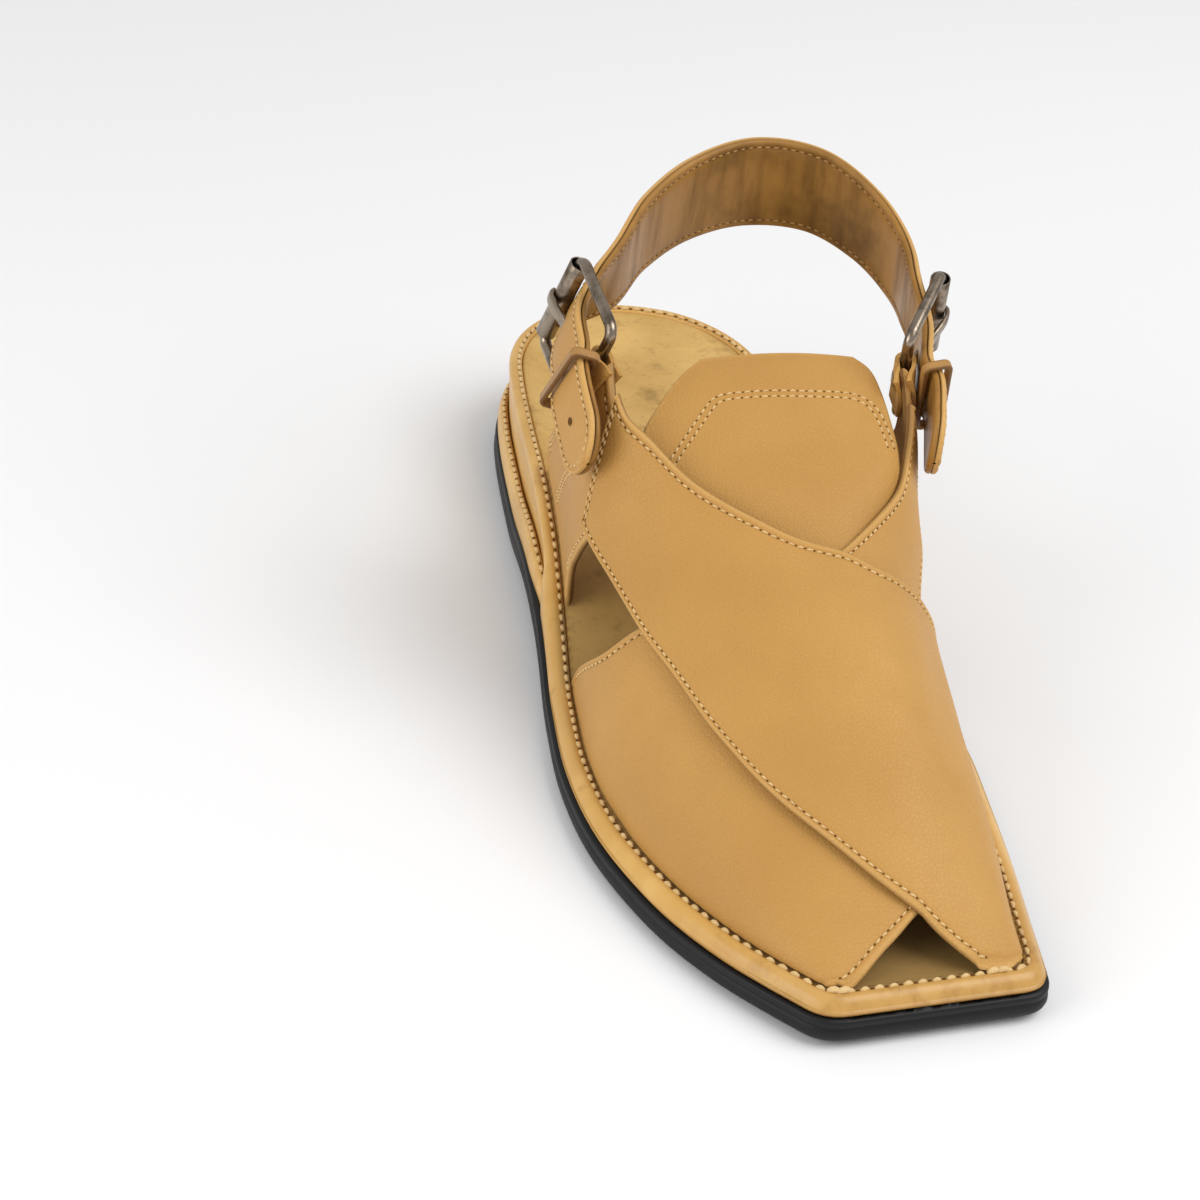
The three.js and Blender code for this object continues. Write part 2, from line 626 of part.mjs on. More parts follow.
function boxAt(basis, from, to) {
  const size = to.clone().sub(from);
  const middle = from.clone().lerp(to, 0.5);
  const box = new THREE.BoxGeometry(size.x, size.y, size.z);
  const turn = new THREE.Matrix4().makeBasis(basis.u, basis.w, basis.n);
  if (turn.determinant() < 0) turn.makeBasis(basis.u, basis.w.clone().negate(), basis.n);
  box.applyMatrix4(turn.setPosition(spot(basis, middle.x, middle.y, middle.z)));
  box.deleteAttribute('normal');
  box.deleteAttribute('uv');
  return toManifold(mergeVertices(box));
}

function roundedLoop(halfA, halfB, round, steps) {
  const points = [];
  for (let corner = 0; corner < 4; corner += 1) {
    const signA = corner === 0 || corner === 3 ? 1 : -1;
    const signB = corner < 2 ? 1 : -1;
    for (let step = 0; step <= steps; step += 1) {
      const angle = ((corner + step / steps) * Math.PI) / 2;
      const a = signA * (halfA - round) + round * Math.cos(angle);
      const b = signB * (halfB - round) + round * Math.sin(angle);
      points.push({ a, b, outA: Math.cos(angle), outB: Math.sin(angle) });
    }
  }
  return points;
}

// Buckle pieces
function buckleFrame(side) {
  const basis = BASIS[side].turned;
  const loop = roundedLoop(FRAME_LENGTH / 2, FRAME_WIDTH / 2, FRAME_ROUND, 3);
  const sides = 8;
  return loft(loop.map((point) => Array.from({ length: sides }, (_, i) => {
    const angle = (2 * Math.PI * i) / sides;
    const out = WIRE_RADIUS * Math.cos(angle);
    const a = point.a - FRAME_LENGTH / 2 + out * point.outA;
    return spot(basis, a, point.b + out * point.outB, WIRE_RADIUS * Math.sin(angle));
  })));
}

function buckleRoller(side) {
  const basis = BASIS[side].turned;
  const facets = 16;
  const half = ROLLER_LENGTH / 2;
  const corners = [[ROLLER_BORE, -half], [ROLLER_RADIUS, -half], [ROLLER_RADIUS, half], [ROLLER_BORE, half]];
  return loft(Array.from({ length: facets }, (_, i) => corners.map(([radius, b]) => {
    const angle = (2 * Math.PI * i) / facets;
    return spot(basis, radius * Math.cos(angle) - FRAME_LENGTH, b, radius * Math.sin(angle));
  })));
}

function buckleProng(side) {
  const basis = BASIS[side].turned;
  const facets = 14;
  const inner = WIRE_RADIUS + GAP;
  const outer = inner + CHAPE_THICK;
  const wide = PRONG_EYE_HALF;
  const corners = [[inner, -wide], [outer, -wide], [outer, wide], [inner, wide]];
  const eye = loft(Array.from({ length: facets }, (_, i) => corners.map(([radius, b]) => {
    const angle = (2 * Math.PI * i) / facets;
    return spot(basis, radius * Math.cos(angle), b, radius * Math.sin(angle));
  })));
  const way = new THREE.SplineCurve(PRONG_WAY.map((row) => new THREE.Vector2(row.a, row.h)));
  const steps = 12;
  const square = [[-1, -1], [1, -1], [1, 1], [-1, 1]];
  const shank = loft(Array.from({ length: steps + 1 }, (_, i) => {
    const at = way.getPoint(i / steps);
    const along = way.getTangent(i / steps);
    return square.map(([across, up]) => {
      const rise = up * PRONG_HALF;
      return spot(basis, at.x + rise * along.y, across * PRONG_HALF, at.y - rise * along.x);
    });
  }), square.map(([across, up]) => new THREE.Vector2(across, up)));
  return fromManifold(toManifold(eye).add(toManifold(shank)));
}

// The chape folds round the frame's bar, and its two layers hold the quarter's tab.
function chape(side) {
  const inside = WALL / 2 + GAP;
  const bore = WIRE_RADIUS + GAP;
  const foldSteps = 6;
  const layer = (reach, radius) => {
    const points = [{ a: CHAPE_LENGTH, h: reach }, { a: CHAPE_NECK, h: reach }];
    for (let step = 0; step <= foldSteps; step += 1) {
      const angle = (step * Math.PI) / foldSteps;
      points.push({ a: -radius * Math.sin(angle), h: radius * Math.cos(angle) });
    }
    points.push({ a: CHAPE_NECK, h: -reach }, { a: CHAPE_LENGTH, h: -reach });
    return points;
  };
  const outside = layer(inside + CHAPE_THICK, bore + CHAPE_THICK);
  const profile = [...outside, ...layer(inside, bore).reverse()];
  const sections = [];
  const steps = 5;
  for (let step = 0; step <= steps; step += 1) {
    const b = CHAPE_WIDTH * (step / steps - 0.5);
    sections.push(profile.map(({ a, h }) => {
      return spot(BASIS[side].flat, a, b, h).lerp(onWall(side, a, b, h), smooth(a, 0, CHAPE_NECK));
    }));
  }
  const folded = loft(sections, profile.map(({ a, h }) => new THREE.Vector2(a, h)));
  const { width, from, to, reach } = CHAPE_SLOT;
  const slotFrom = new THREE.Vector3(from, -width / 2, -reach);
  const slotTo = new THREE.Vector3(to, width / 2, reach);
  return fromManifold(toManifold(folded).subtract(boxAt(BASIS[side].flat, slotFrom, slotTo)));
}

// Heel strap: rows of its centre line and of the way down across it.
function strapEnd(side) {
  const { flat, turned } = BASIS[side];
  const { slope, flare, keeperAt, full } = STRAP_ENDS[side];
  const lean = Math.tan(THREE.MathUtils.degToRad(slope - BUCKLES[side].slope));
  const overChape = WALL / 2 + CHAPE_THICK + KEEPER_THICK + STRAP_THICK / 2 + 5 * GAP;
  const overBar = WIRE_RADIUS + CHAPE_THICK + STRAP_THICK / 2 + 5 * GAP;
  const underRoller = ROLLER_RADIUS + STRAP_THICK / 2 + 6 * GAP;
  const down = flat.w.clone().addScaledVector(flat.u, -lean).normalize();
  const half = STRAP_WIDTH / 2;
  const tip = (a, h) => ({ at: onWall(side, a, a * lean, h), down, half });
  const through = (a, h) => ({ at: spot(turned, a, 0, h), down: flat.w, half });
  return [
    tip(TIP_LENGTH, overChape + flare),
    tip(TIP_LENGTH * TIP_KNEE, overChape + flare * TIP_KNEE ** 2),
    tip(keeperAt, overChape),
    through(0, overBar),
    through(-FRAME_LENGTH / 2, overBar * full),
    through(-FRAME_LENGTH, -underRoller),
  ];
}

function strapRows() {
  const round = HEEL_WAY.map(({ x, y, z, half, lean }) => {
    const tilt = THREE.MathUtils.degToRad(lean);
    const down = new THREE.Vector3(0, Math.sin(tilt), -Math.cos(tilt));
    return { at: new THREE.Vector3(x, y, z), down, half };
  });
  return [...strapEnd(LATERAL), ...round, ...strapEnd(MEDIAL).reverse()];
}

const STRAP = strapRows();
const STRAP_CENTRE = new THREE.CatmullRomCurve3(STRAP.map((row) => row.at));
const STRAP_DOWN = new THREE.CatmullRomCurve3(STRAP.map((row) => row.down), false, 'catmullrom');
const STRAP_HALF = new THREE.SplineCurve(STRAP.map((row, i) => new THREE.Vector2(i, row.half)));
const STRAP_SPAN = STRAP.length - 1;

// Where the strap is and how it faces, at a place counted in rows.
function strapFrame(row) {
  const t = THREE.MathUtils.clamp(row / STRAP_SPAN, 0, 1);
  const along = STRAP_CENTRE.getTangent(t);
  const down = STRAP_DOWN.getPoint(t).projectOnPlane(along).normalize();
  return { at: STRAP_CENTRE.getPoint(t), along, down, out: along.clone().cross(down) };
}

function strapHalf(row) {
  const ends = [STRAP_CENTRE.getPoint(0), STRAP_CENTRE.getPoint(1)];
  const at = strapFrame(row).at;
  const fromEnd = Math.min(at.distanceTo(ends[0]), at.distanceTo(ends[1]));
  const short = Math.max(0, 1 - fromEnd / TIP_ROUND);
  return STRAP_HALF.getPoint(row / STRAP_SPAN).y * Math.max(0.3, Math.sqrt(1 - short * short));
}

function heelStrap() {
  const surface = (lift) => (u, v) => {
    const row = v * STRAP_SPAN;
    const { at, down, out } = strapFrame(row);
    return at.addScaledVector(down, (2 * u - 1) * strapHalf(row)).addScaledVector(out, lift);
  };
  let band = toManifold(sheet(4, 72, surface(STRAP_THICK / 2), surface(-STRAP_THICK / 2)));
  for (const side of [LATERAL, MEDIAL]) {
    const from = new THREE.Vector3(PRONG_HOLE.from, -PRONG_HOLE.half, PRONG_HOLE.low);
    const to = new THREE.Vector3(PRONG_HOLE.to, PRONG_HOLE.half, PRONG_HOLE.high);
    band = band.subtract(boxAt(BASIS[side].turned, from, to));
  }
  return fromManifold(band);
}

// The keeper is a leather ring round the strap, on the chape.
function keeper(side) {
  const row = side === LATERAL ? 2 : STRAP_SPAN - 2;
  const { at, along, down, out } = strapFrame(row);
  const halfDown = STRAP_WIDTH / 2 + 2 * GAP + KEEPER_THICK / 2;
  const halfOut = STRAP_THICK / 2 + 2 * GAP + KEEPER_THICK / 2;
  const loop = roundedLoop(halfDown, halfOut, KEEPER_ROUND, 3);
  const corners = [[-1, -1], [1, -1], [1, 1], [-1, 1]];
  return loft(loop.map((point) => corners.map(([wide, thick]) => {
    const rise = (thick * KEEPER_THICK) / 2;
    return at.clone()
      .addScaledVector(along, (wide * KEEPER_WIDTH) / 2)
      .addScaledVector(down, point.a + rise * point.outA)
      .addScaledVector(out, point.b + rise * point.outB);
  })));
}

const group = new THREE.Group();

function add(name, geometry, material) {
  const mesh = new THREE.Mesh(geometry, new THREE.MeshStandardMaterial(MATERIALS[material]));
  mesh.name = name;
  group.add(mesh);
}

add('outsole', outsole(), 'rubber');
add('platform', platform(), 'wrap');
add('heel_welt', heelWelt(), 'wrap');
add('insole', insole(), 'footbed');
add('upper', upper(), 'leather');
add('tongue', tongue(), 'leather');
add('heel_strap', heelStrap(), 'leather');
for (const side of [LATERAL, MEDIAL]) {
  const { name } = BUCKLES[side];
  add(`chape_${name}`, chape(side), 'leather');
  add(`keeper_${name}`, keeper(side), 'leather');
  add(`buckle_frame_${name}`, buckleFrame(side), 'nickel');
  add(`buckle_roller_${name}`, buckleRoller(side), 'nickel');
  add(`buckle_prong_${name}`, buckleProng(side), 'nickel');
}

group.position.x = CENTRE_SHIFT;

export default group;
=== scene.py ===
import math

import bpy
import numpy as np
from mathutils import Matrix, Vector


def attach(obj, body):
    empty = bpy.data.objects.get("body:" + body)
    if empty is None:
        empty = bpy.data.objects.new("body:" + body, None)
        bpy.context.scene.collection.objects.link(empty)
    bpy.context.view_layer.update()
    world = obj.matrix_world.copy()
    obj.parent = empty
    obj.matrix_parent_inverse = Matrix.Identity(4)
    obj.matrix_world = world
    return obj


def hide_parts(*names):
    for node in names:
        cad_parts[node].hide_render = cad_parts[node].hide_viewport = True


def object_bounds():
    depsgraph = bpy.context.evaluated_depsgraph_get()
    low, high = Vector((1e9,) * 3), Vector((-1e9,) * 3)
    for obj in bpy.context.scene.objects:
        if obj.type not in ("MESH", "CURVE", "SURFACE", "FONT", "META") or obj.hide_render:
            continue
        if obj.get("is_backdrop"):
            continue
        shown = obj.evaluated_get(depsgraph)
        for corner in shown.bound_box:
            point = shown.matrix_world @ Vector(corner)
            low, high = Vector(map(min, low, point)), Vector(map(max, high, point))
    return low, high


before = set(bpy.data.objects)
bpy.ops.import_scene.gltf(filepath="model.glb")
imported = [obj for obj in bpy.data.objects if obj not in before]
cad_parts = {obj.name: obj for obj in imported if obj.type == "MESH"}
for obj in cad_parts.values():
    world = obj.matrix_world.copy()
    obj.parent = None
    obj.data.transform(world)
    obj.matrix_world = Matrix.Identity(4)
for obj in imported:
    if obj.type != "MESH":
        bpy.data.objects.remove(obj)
CAD_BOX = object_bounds()

# Sizes are in millimetres and become metres where a mesh is laid out.
MM = 0.001
CENTRE_SHIFT = np.array([-4.4, 0, 0])
GAP = 0.3
WELD = 0.004
HALVINGS = 26
LATERAL = -1
MEDIAL = 1
SIDE_NAMES = {LATERAL: "lateral", MEDIAL: "medial"}
RANDOM = np.random.default_rng(11)


def table(names, *rows):
    """Columns of a short table, by name."""
    return dict(zip(names.split(), np.array(rows, float).T))


# Outsole edge: x of each side at stations from heel to toe.
OUTLINE = table(
    "y lateral medial",
    (145, 2, 2),
    (141, -14, 18),
    (132, -25.5, 29.5),
    (118, -33.2, 37.6),
    (100, -36.8, 41),
    (75, -39.4, 40.6),
    (50, -41.4, 39.8),
    (25, -43.2, 41.2),
    (0, -46, 45),
    (-25, -49.2, 48.4),
    (-50, -51.2, 49.6),
    (-75, -49.4, 47.4),
    (-100, -42.6, 44.4),
    (-120, -33.2, 41.2),
    (-133, -24.6, 39.15),
)
TOE_CORNER = {LATERAL: np.array([-15.5, -144.8]), MEDIAL: np.array([37.6, -141.3])}
TOE_CORNER_ROUND = 6
SHARP_INSET = 16
CORNER_STEPS = 8
TOE_STEPS = 10
PER_STATION = 6

# Heights of the sole
ARCH = dict(rise=3.2, fore=dict(start=-22, full=12), heel=dict(start=66, full=38))
TOE_SPRING = dict(rise=1.4, start=-100, full=-145)
OUTSOLE_THICK = dict(fore=6.2, heel=8.4, start=10, full=70)
RIM = dict(fore=10.2, heel=30.2, start=-28, full=56)
TOE_LIFT = dict(rise=1.6, start=-60, full=-142)
HEEL_STEP = dict(start=14, full=25)
INSOLE_DROP = 0.8
INSOLE_THICK = 1.8
RIM_INSET = 6

# Side of the outsole: how far in, at a share of its thickness. The rib runs under the top edge.
OUTSOLE_SIDE = table(
    "inset up",
    (2.4, 0),
    (1.6, 0.02),
    (0.9, 0.08),
    (0.3, 0.2),
    (0, 0.36),
    (0.05, 0.52),
    (0.2, 0.6),
    (0.42, 0.65),
    (0.42, 0.69),
    (0.22, 0.74),
    (0.15, 0.82),
    (0.2, 0.93),
    (0.45, 0.99),
    (1.8, 1),
)
# Side of the wrapped platform above the outsole, then down from the rim.
PLATFORM_FOOT = table(
    "inset heel_inset above",
    (3.2, 2.1, 0),
    (1.6, 2.1, 0),
    (1.2, 2.3, 0.12),
    (1.1, 2.3, 0.36),
)
PLATFORM_RIM = table(
    "inset heel_inset below",
    (1.25, 1.5, 2.8),
    (1.5, 1.1, 2.2),
    (1.9, 0.7, 1.45),
    (2.4, 0.4, 0.8),
    (3.1, 0.2, 0.22),
    (3.8, 0, -0.05),
    (4.5, 0, -0.02),
    (5, 0, 0.2),
    (5.4, 0, 0.42),
    (5.8, 0, 0.5),
    (6.1, 0, 0.9),
    (6.1, 0, 2.6),
)
# Stitches on the rim: where they lie, the lines that give their lean, and the shade painted along
# them
RIM_SEAM = dict(
    inset=5.15, below=0.22, outer_inset=4.4, inner_inset=5.4, lean=-0.12,
    shade=dict(at=5.2, wide=0.5))
# Edge of the footbed, from its underside up
BED_EDGE = table("inset below", (0, INSOLE_THICK), (0, 0.4), (0.2, 0.12), (0.6, 0))
# Shares of the way to the middle at which a slab's closing rings lie
CLOSING = dict(
    tread=(1, 0.9, 0.7, 0.4, 0.1),
    outsole_top=(0.3, 1),
    platform_low=(1, 0.4),
    platform_top=(0.4, 1),
    bed_low=(1, 0.5),
    bed_top=(0.08, 0.2, 0.4, 0.6, 0.8, 1),
)
# Section of the lip round the heel, how it ends at the waist, and its stitches
WELT_SECTION = table(
    "inset up",
    (0.8, 0),
    (0.62, 1.6),
    (0.55, 3.2),
    (0.65, 4.8),
    (0.95, 6.1),
    (1.45, 6.95),
    (2.1, 7.25),
    (2.75, 7.05),
    (3.2, 6.4),
    (3.2, 0),
)
WELT_END = dict(start=11, full=36, low=0.45, sink=1.5)
# Painted shade along the lip's stitch row, and the lean of its stitches
LIP_SEAM = dict(shade=0.8, lean=0.45)

# Sections of the last: crown, and the wall's height, the roof's width and the bulge of each side
LAST = table(
    "y crown_x crown_z wall_l roof_l lean_l wall_m roof_m lean_m",
    (-142, 11, 8.5, 0.4, 0.6, 0, 0.4, 0.6, 0),
    (-126, 9.5, 20, 0.45, 0.6, 0, 0.42, 0.5, -1),
    (-100, 10.5, 34.5, 0.45, 0.55, 0, 0.4, 0.46, -2),
    (-70, 11.5, 49, 0.5, 0.54, 1, 0.42, 0.42, -4),
    (-41, 12, 60, 0.58, 0.6, 2, 0.56, 0.48, -3),
    (-14, 12, 78, 0.72, 0.76, 3, 0.8, 0.82, 8),
    (14, 11, 106, 0.84, 0.9, 3, 0.9, 1.12, 18),
    (42, 8, 121, 0.85, 0.92, 2, 0.9, 1.14, 16),
    (70, 5, 130, 0.85, 0.92, 1, 0.9, 1.1, 11),
)
FEATHER_INSET = 8.3
FEATHER_UP = 0.6
LAST_STEP = dict(y=0.5, v=0.004)
WALL_FROM = 0.05

# Edges of the crossed bands on the last: station y and girth v
WALL = 2
OVERLAY = dict(lift=2.4, girth=dict(start=0.95, full=0.55), y=dict(start=-137, full=-120))
OVER_BAND = table(
    "front_y front_v back_y back_v",
    (-9, -0.715, 2, -0.5),
    (-20, -0.66, -3, -0.475),
    (-36, -0.592, -10, -0.405),
    (-58, -0.525, -22, -0.305),
    (-80, -0.465, -33, -0.185),
    (-100, -0.365, -41, -0.065),
    (-118, -0.17, -46.8, 0.13),
    (-128, 0.03, -46.3, 0.31),
    (-133, 0.2, -44, 0.46),
    (-135.6, 0.33, -42.8, 0.55),
    (-136.8, 0.41, -41.2, 0.64),
    (-136.8, 0.72, -37, 0.8),
    (-135, 1, -25, 1),
)
UNDER_BAND = table(
    "front_y front_v back_y back_v",
    (-8, 0.72, -1, 0.54),
    (-22, 0.67, -6, 0.52),
    (-38, 0.6, -12, 0.48),
    (-60, 0.53, -21, 0.405),
    (-82, 0.455, -30, 0.27),
    (-103, 0.34, -38, 0.115),
    (-118, 0.2, -43, -0.03),
    (-127.5, -0.045, -46, -0.22),
    (-132, -0.22, -46, -0.42),
    (-136.4, -0.48, -42, -0.575),
    (-138.4, -0.74, -36, -0.765),
    (-137.2, -1, -18, -1),
)
# Quarters from the sole to the tab that holds the buckle: station y and height z
QUARTERS = {
    LATERAL: table(
        "front_y front_z rear_y rear_z",
        (10, 0, 54, 0),
        (3.5, 27, 51, 36.5),
        (-4, 38, 46, 44.5),
        (-11, 48, 38.5, 52),
        (-15, 56, 26, 58.5),
        (-10, 66, 14.5, 61.5),
        (0.6, 74.6, 12.8, 65),
        (9.3, 83.4, 14.1, 70.2),
    ),
    MEDIAL: table(
        "front_y front_z rear_y rear_z",
        (12, 0, 52, 0),
        (8, 28, 49, 36),
        (1, 39, 43, 43),
        (-8, 46, 35, 50),
        (-14, 54, 23, 56),
        (-9, 64, 12.5, 58.8),
        (-1, 73, 8.6, 62.8),
        (3.9, 82.2, 7.9, 68.8),
    ),
}
QUARTER_SINK = dict(lift={LATERAL: 0, MEDIAL: -1.1}, start=0.98, full=0.8)
# Second seam of each quarter, on the last
QUARTER_SEAM = {
    LATERAL: table("y v", (13, -0.82), (19, -0.867), (25.5, -0.918), (32, -0.968)),
    MEDIAL: table("y v", (13, 0.83), (19, 0.87), (26, 0.92), (33, 0.97)),
}
# Where each band's front edge meets the toe's rim, as a share of its length, and its tuck there
TOE_MEETING = dict(over=0.84, under=0.915)
TOE_TUCK = dict(start=9, full=5.4, share=0.8)
# Soft dents and swells of the bands: place, run, half sizes along and across the run, and depth
DENT_GIRTH = 70
DENTS = table(
    "y v run_deg long wide depth",
    (-24, -0.6, 64, 26, 7, -0.55),
    (-44, -0.5, 58, 30, 8, 0.45),
    (-62, -0.12, 35, 34, 9, -0.4),
    (-84, 0.12, 28, 36, 11, 0.4),
    (-70, 0.42, 18, 30, 8, -0.45),
    (-98, 0.5, 10, 26, 9, 0.35),
    (-70, -0.78, 84, 34, 7, -0.4),
    (-98, -0.6, 60, 26, 8, 0.35),
    (-14, 0.66, 80, 22, 7, -0.5),
)

# Tongue
TONGUE_THICK = 1.8
TONGUE = table(
    "y left right crown_z",
    (-72, -3, 25, 62),
    (-50, -13, 31, 62.5),
    (-30, -20, 33.5, 66.5),
    (-15, -25.5, 35, 71),
    (-4, -27, 35.5, 74.6),
    (6, -20, 35.5, 78),
    (13, -13.2, 34.5, 80),
    (17, -7.5, 31, 80.9),
)
TONGUE_ARCH = dict(centre_x=9, half=28, sag=3)
TONGUE_CLEAR = 0.6
TONGUE_BLEND = 1.6
TONGUE_SEAM = table(
    "x y",
    (-24, -14.5),
    (-21, -11),
    (-15.3, -4.6),
    (-9.4, 2),
    (-7.2, 3.6),
    (-4, 4.2),
    (6, 4),
    (16, 3.6),
    (26, 3.6),
    (29.5, 2.6),
    (32, 0.4),
    (33.4, -4),
    (33.8, -12),
)

# Buckles
BUCKLES = {
    LATERAL: dict(y=15.2, z=77.8, slope=19, splay=8),
    MEDIAL: dict(y=9.6, z=76.4, slope=19, splay=31),
}
STRAP_ENDS = {
    LATERAL: dict(slope=32, flare=3.2, keeper_at=2.8, full=0.45),
    MEDIAL: dict(slope=26, flare=1, keeper_at=5.6, full=0.2),
}
FRAME_LENGTH = 24
FRAME_WIDTH = 28
FRAME_ROUND = 3
WIRE_RADIUS = 1.45
ROLLER_RADIUS = 2.5
ROLLER_BORE = 2.1
ROLLER_LENGTH = 24.4
ROLLER_LIP = 0.12
METAL_STEPS = dict(frame_corner=8, wire=20, roller=40, prong=40, shank=16, eye=32)
PRONG_EYE_HALF = 1.6
PRONG_EYE_ROUND = 0.3
PRONG_SQUARE = 0.6
PRONG_WAY = table(
    "a h half thick",
    (-2, 0.3, 1.5, 0.8),
    (-7, 0.6, 1.4, 0.8),
    (-13, 1.8, 1.4, 0.75),
    (-19, 3, 1.5, 0.7),
    (-23, 3.35, 1.55, 0.62),
    (-25.4, 2.85, 1.4, 0.55),
    (-26.6, 1.6, 1, 0.45),
)
CHAPE_WIDTH = 13
CHAPE_LENGTH = 7
CHAPE_THICK = 1.1
CHAPE_NECK = 5
CHAPE_SLOT = dict(width=4.6, start=-6, end=4, reach=6)
CHAPE_STEPS = dict(fold=15, leg=6, across=13)
CHAPE_BEVEL = dict(width=0.25, segments=2, over_deg=50, smooth_deg=45)
KEEPER_WIDTH = 2.6
KEEPER_THICK = 1.3
KEEPER_ROUND = 1.4
KEEPER_ROW = 2
KEEPER_EDGE = dict(round=0.45, cut=dict(start=0.55, full=0.95))
KEEPER_STEPS = dict(corner=6, edge=3, section=32)

# Heel strap
STRAP_THICK = 3
STRAP_WIDTH = 19
TIP_LENGTH = 26
TIP_ROUND = 9
TIP_KNEE = 0.66
HEEL_WAY = table(
    "x y z half lean",
    (-22.6, 48, 87.2, 9.8, 8),
    (-12, 62, 91.5, 10.8, 4),
    (3, 74, 95, 12, 5),
    (20, 79, 97, 12.6, 5),
    (36, 75, 96, 12, 5),
    (47, 63, 91.5, 10.8, 4),
    (52, 48, 86.4, 9.8, 8),
)
# Section of the strap: distance from its edge and height, of the outer leather and of the lining
STRAP_EDGE = table(
    "inset height",
    (0.5, 0.06),
    (0.12, 0.2),
    (0, 0.45),
    (0.1, 0.85),
    (0.4, 1.25),
    (0.9, 1.45),
    (1.4, 1.42),
    (1.9, 1.24),
    (2.4, 1.4),
    (3.2, 1.52),
)
STRAP_SWELL = 0.35
STRAP_STEP = 0.0002
# Lines of vertices of the strap, and how its rounded tips grow thin
STRAP_BAND = dict(
    lines=190, tip_lines=14, inner_lines=13, least_width=0.02, tip_swell=0.4,
    thin_under=3, thinnest=0.05)
STRAP_MARKS = dict(rim=dict(start=1.4, full=0.1), cut=dict(share=0.55, start=0.4, full=0.1))
STRAP_SEAM = dict(first=1.9, second=3.5, bedded=0.16, under_lift=0.1, tip_reach=0.9)
TIP_HOLES = dict(first=-0.5, second=13, radius=0.95, stretch=1.2, lift=0.1)

# How a stitch lies: its slant, the spread of slant and size, and how its ends go down
STITCH = dict(turn=0.09, turn_spread=0.05, size_spread=0.06, droop=0.75, look=0.4, hole_lift=0.07)
# Threads: pitch, length and radius of a stitch, how far it stands, and the size of its holes
FINE_THREAD = dict(pitch=2.2, long=1.6, radius=0.28, stand=0.08, hole=0.27)
COARSE_THREAD = dict(pitch=3.3, long=2.6, radius=0.6, stand=0.2, hole=0.48)
KNOT_THREAD = dict(pitch=1.9, long=3.6, radius=0.78, stand=0.7, hole=0.2)
# Where the stitches of the rim are knotted over the corners of the toe opening
TOE_KNOTS = dict(places=((-10.6, -139.4), (25.2, -137.4)), half_length=2.2)
# Where the footbed is darkened with painted shade under the bands, most towards the toe, and where
# the platform's toe is burnished
FOOTBED_SHADE = dict(start=-30, full=-125)
TOE_BURNISH = dict(start=-100, full=-138)
EDGE_SEAM = 2.3
DOUBLE_GAP = 1.7
# Distances from an edge at which a leather sheet has its lines of vertices
EDGE_LINES = np.array([0, 0.05, 0.2, 0.5, 1, 1.4, 1.8, 2.1, 2.4, 2.8, 3.4, 4.4])
EDGE_SHARE = 0.45
EDGE_ROLL = dict(at=1.15, wide=0.6, rise=0.16)
SEAM_TROUGH = dict(wide=0.5, depth=0.26, bedded=0.6)
# A sheet's paler rolled rim, and its darker cut edge, which is partly painted shade along the edge
SHEET_MARKS = dict(rim=dict(start=1.9, full=0.2), cut=dict(share=0.6, start=0.45, full=0))
SHEET_LINES = dict(
    band=dict(across=30, along=150),
    quarter=dict(across=22, along=60),
    tongue=dict(across=40, along=60),
)
# Share of an edge that its stitches leave free at each end
BAND_TRIM = dict(start=0.012, end=0.03, tab=0.1)
QUARTER_TRIM = dict(front=0.06, rear=0.05, tab=0.1)
# How many places a curve is read at
SAMPLES = dict(
    sheet=400, width=13, seam=500, quarter=200, tongue=400, knot=20, strap=3000, strap_seam=600,
    tip_seam=300)

# Stage, in metres, apart from the camera's place
FLOOR_SIZE = 8
WORLD_STRENGTH = 0.57
LIGHTS = dict(
    key=dict(place=(0.75, -0.45, 1.2), aim=(0, 0, 0.03), size=1.2, power=13.5),
    fill=dict(place=(-1.0, -0.35, 0.5), aim=(0, -0.02, 0.04), size=0.9, power=5.5),
)
CAMERA = dict(
    place=(-207.876, -598.775, 415.2),
    right=(0.9711, -0.224, 0.0829),
    up=(0.052, 0.5371, 0.8419),
    back=(-0.2331, -0.8132, 0.5332),
    sensor=36,
    lens=90.01,
)


# Curves
def smooth(value, start, full):
    t = np.clip((np.asarray(value, float) - start) / (full - start), 0, 1)
    return t * t * (3 - 2 * t)


def ramp(value, size):
    """A smooth step between the start and the full end that a size names."""
    return smooth(value, size["start"], size["full"])


def bell(value, at, wide):
    return np.exp(-(((value - at) / wide) ** 2))


def cubic(p, q, a, b, w):
    """The curve from p to q that leaves along a and arrives along b, read at w from 0 to 1."""
    return ((2 * p - 2 * q + a + b) * w - 3 * p + 3 * q - 2 * a - b) * w * w + a * w + p


def span_of(points, t):
    """Which span of a row of points t from 0 to 1 falls in, and the share of it."""
    last = len(points) - 1
    at = np.clip(np.asarray(t, float), 0, 1) * last
    i = np.minimum(at.astype(int), last - 1)
    return i, (at - i)[..., None]


def spline(points, t):
    """A smooth curve through evenly counted points."""
    i, w = span_of(points, t)
    here, there = points[i], points[i + 1]
    before, after = points[np.maximum(i - 1, 0)], points[np.minimum(i + 2, len(points) - 1)]
    return cubic(here, there, (there - before) / 2, (after - here) / 2, w)


def way(points, t, even=False):
    """A curve through points in space, paced by the square root of their distances unless even."""
    i, w = span_of(points, t)
    padded = np.vstack([2 * points[0] - points[1], points, 2 * points[-1] - points[-2]])
    gaps = np.linalg.norm(np.diff(padded, axis=0), axis=1) ** (0 if even else 0.5)
    p, q, r, s = (padded[i + k] for k in range(4))
    d0, d1, d2 = (gaps[i + k][..., None] for k in range(3))
    a = ((q - p) / d0 - (r - p) / (d0 + d1) + (r - q) / d1) * d1
    b = ((r - q) / d1 - (s - q) / (d1 + d2) + (s - r) / d2) * d1
    return cubic(q, r, a, b, w)


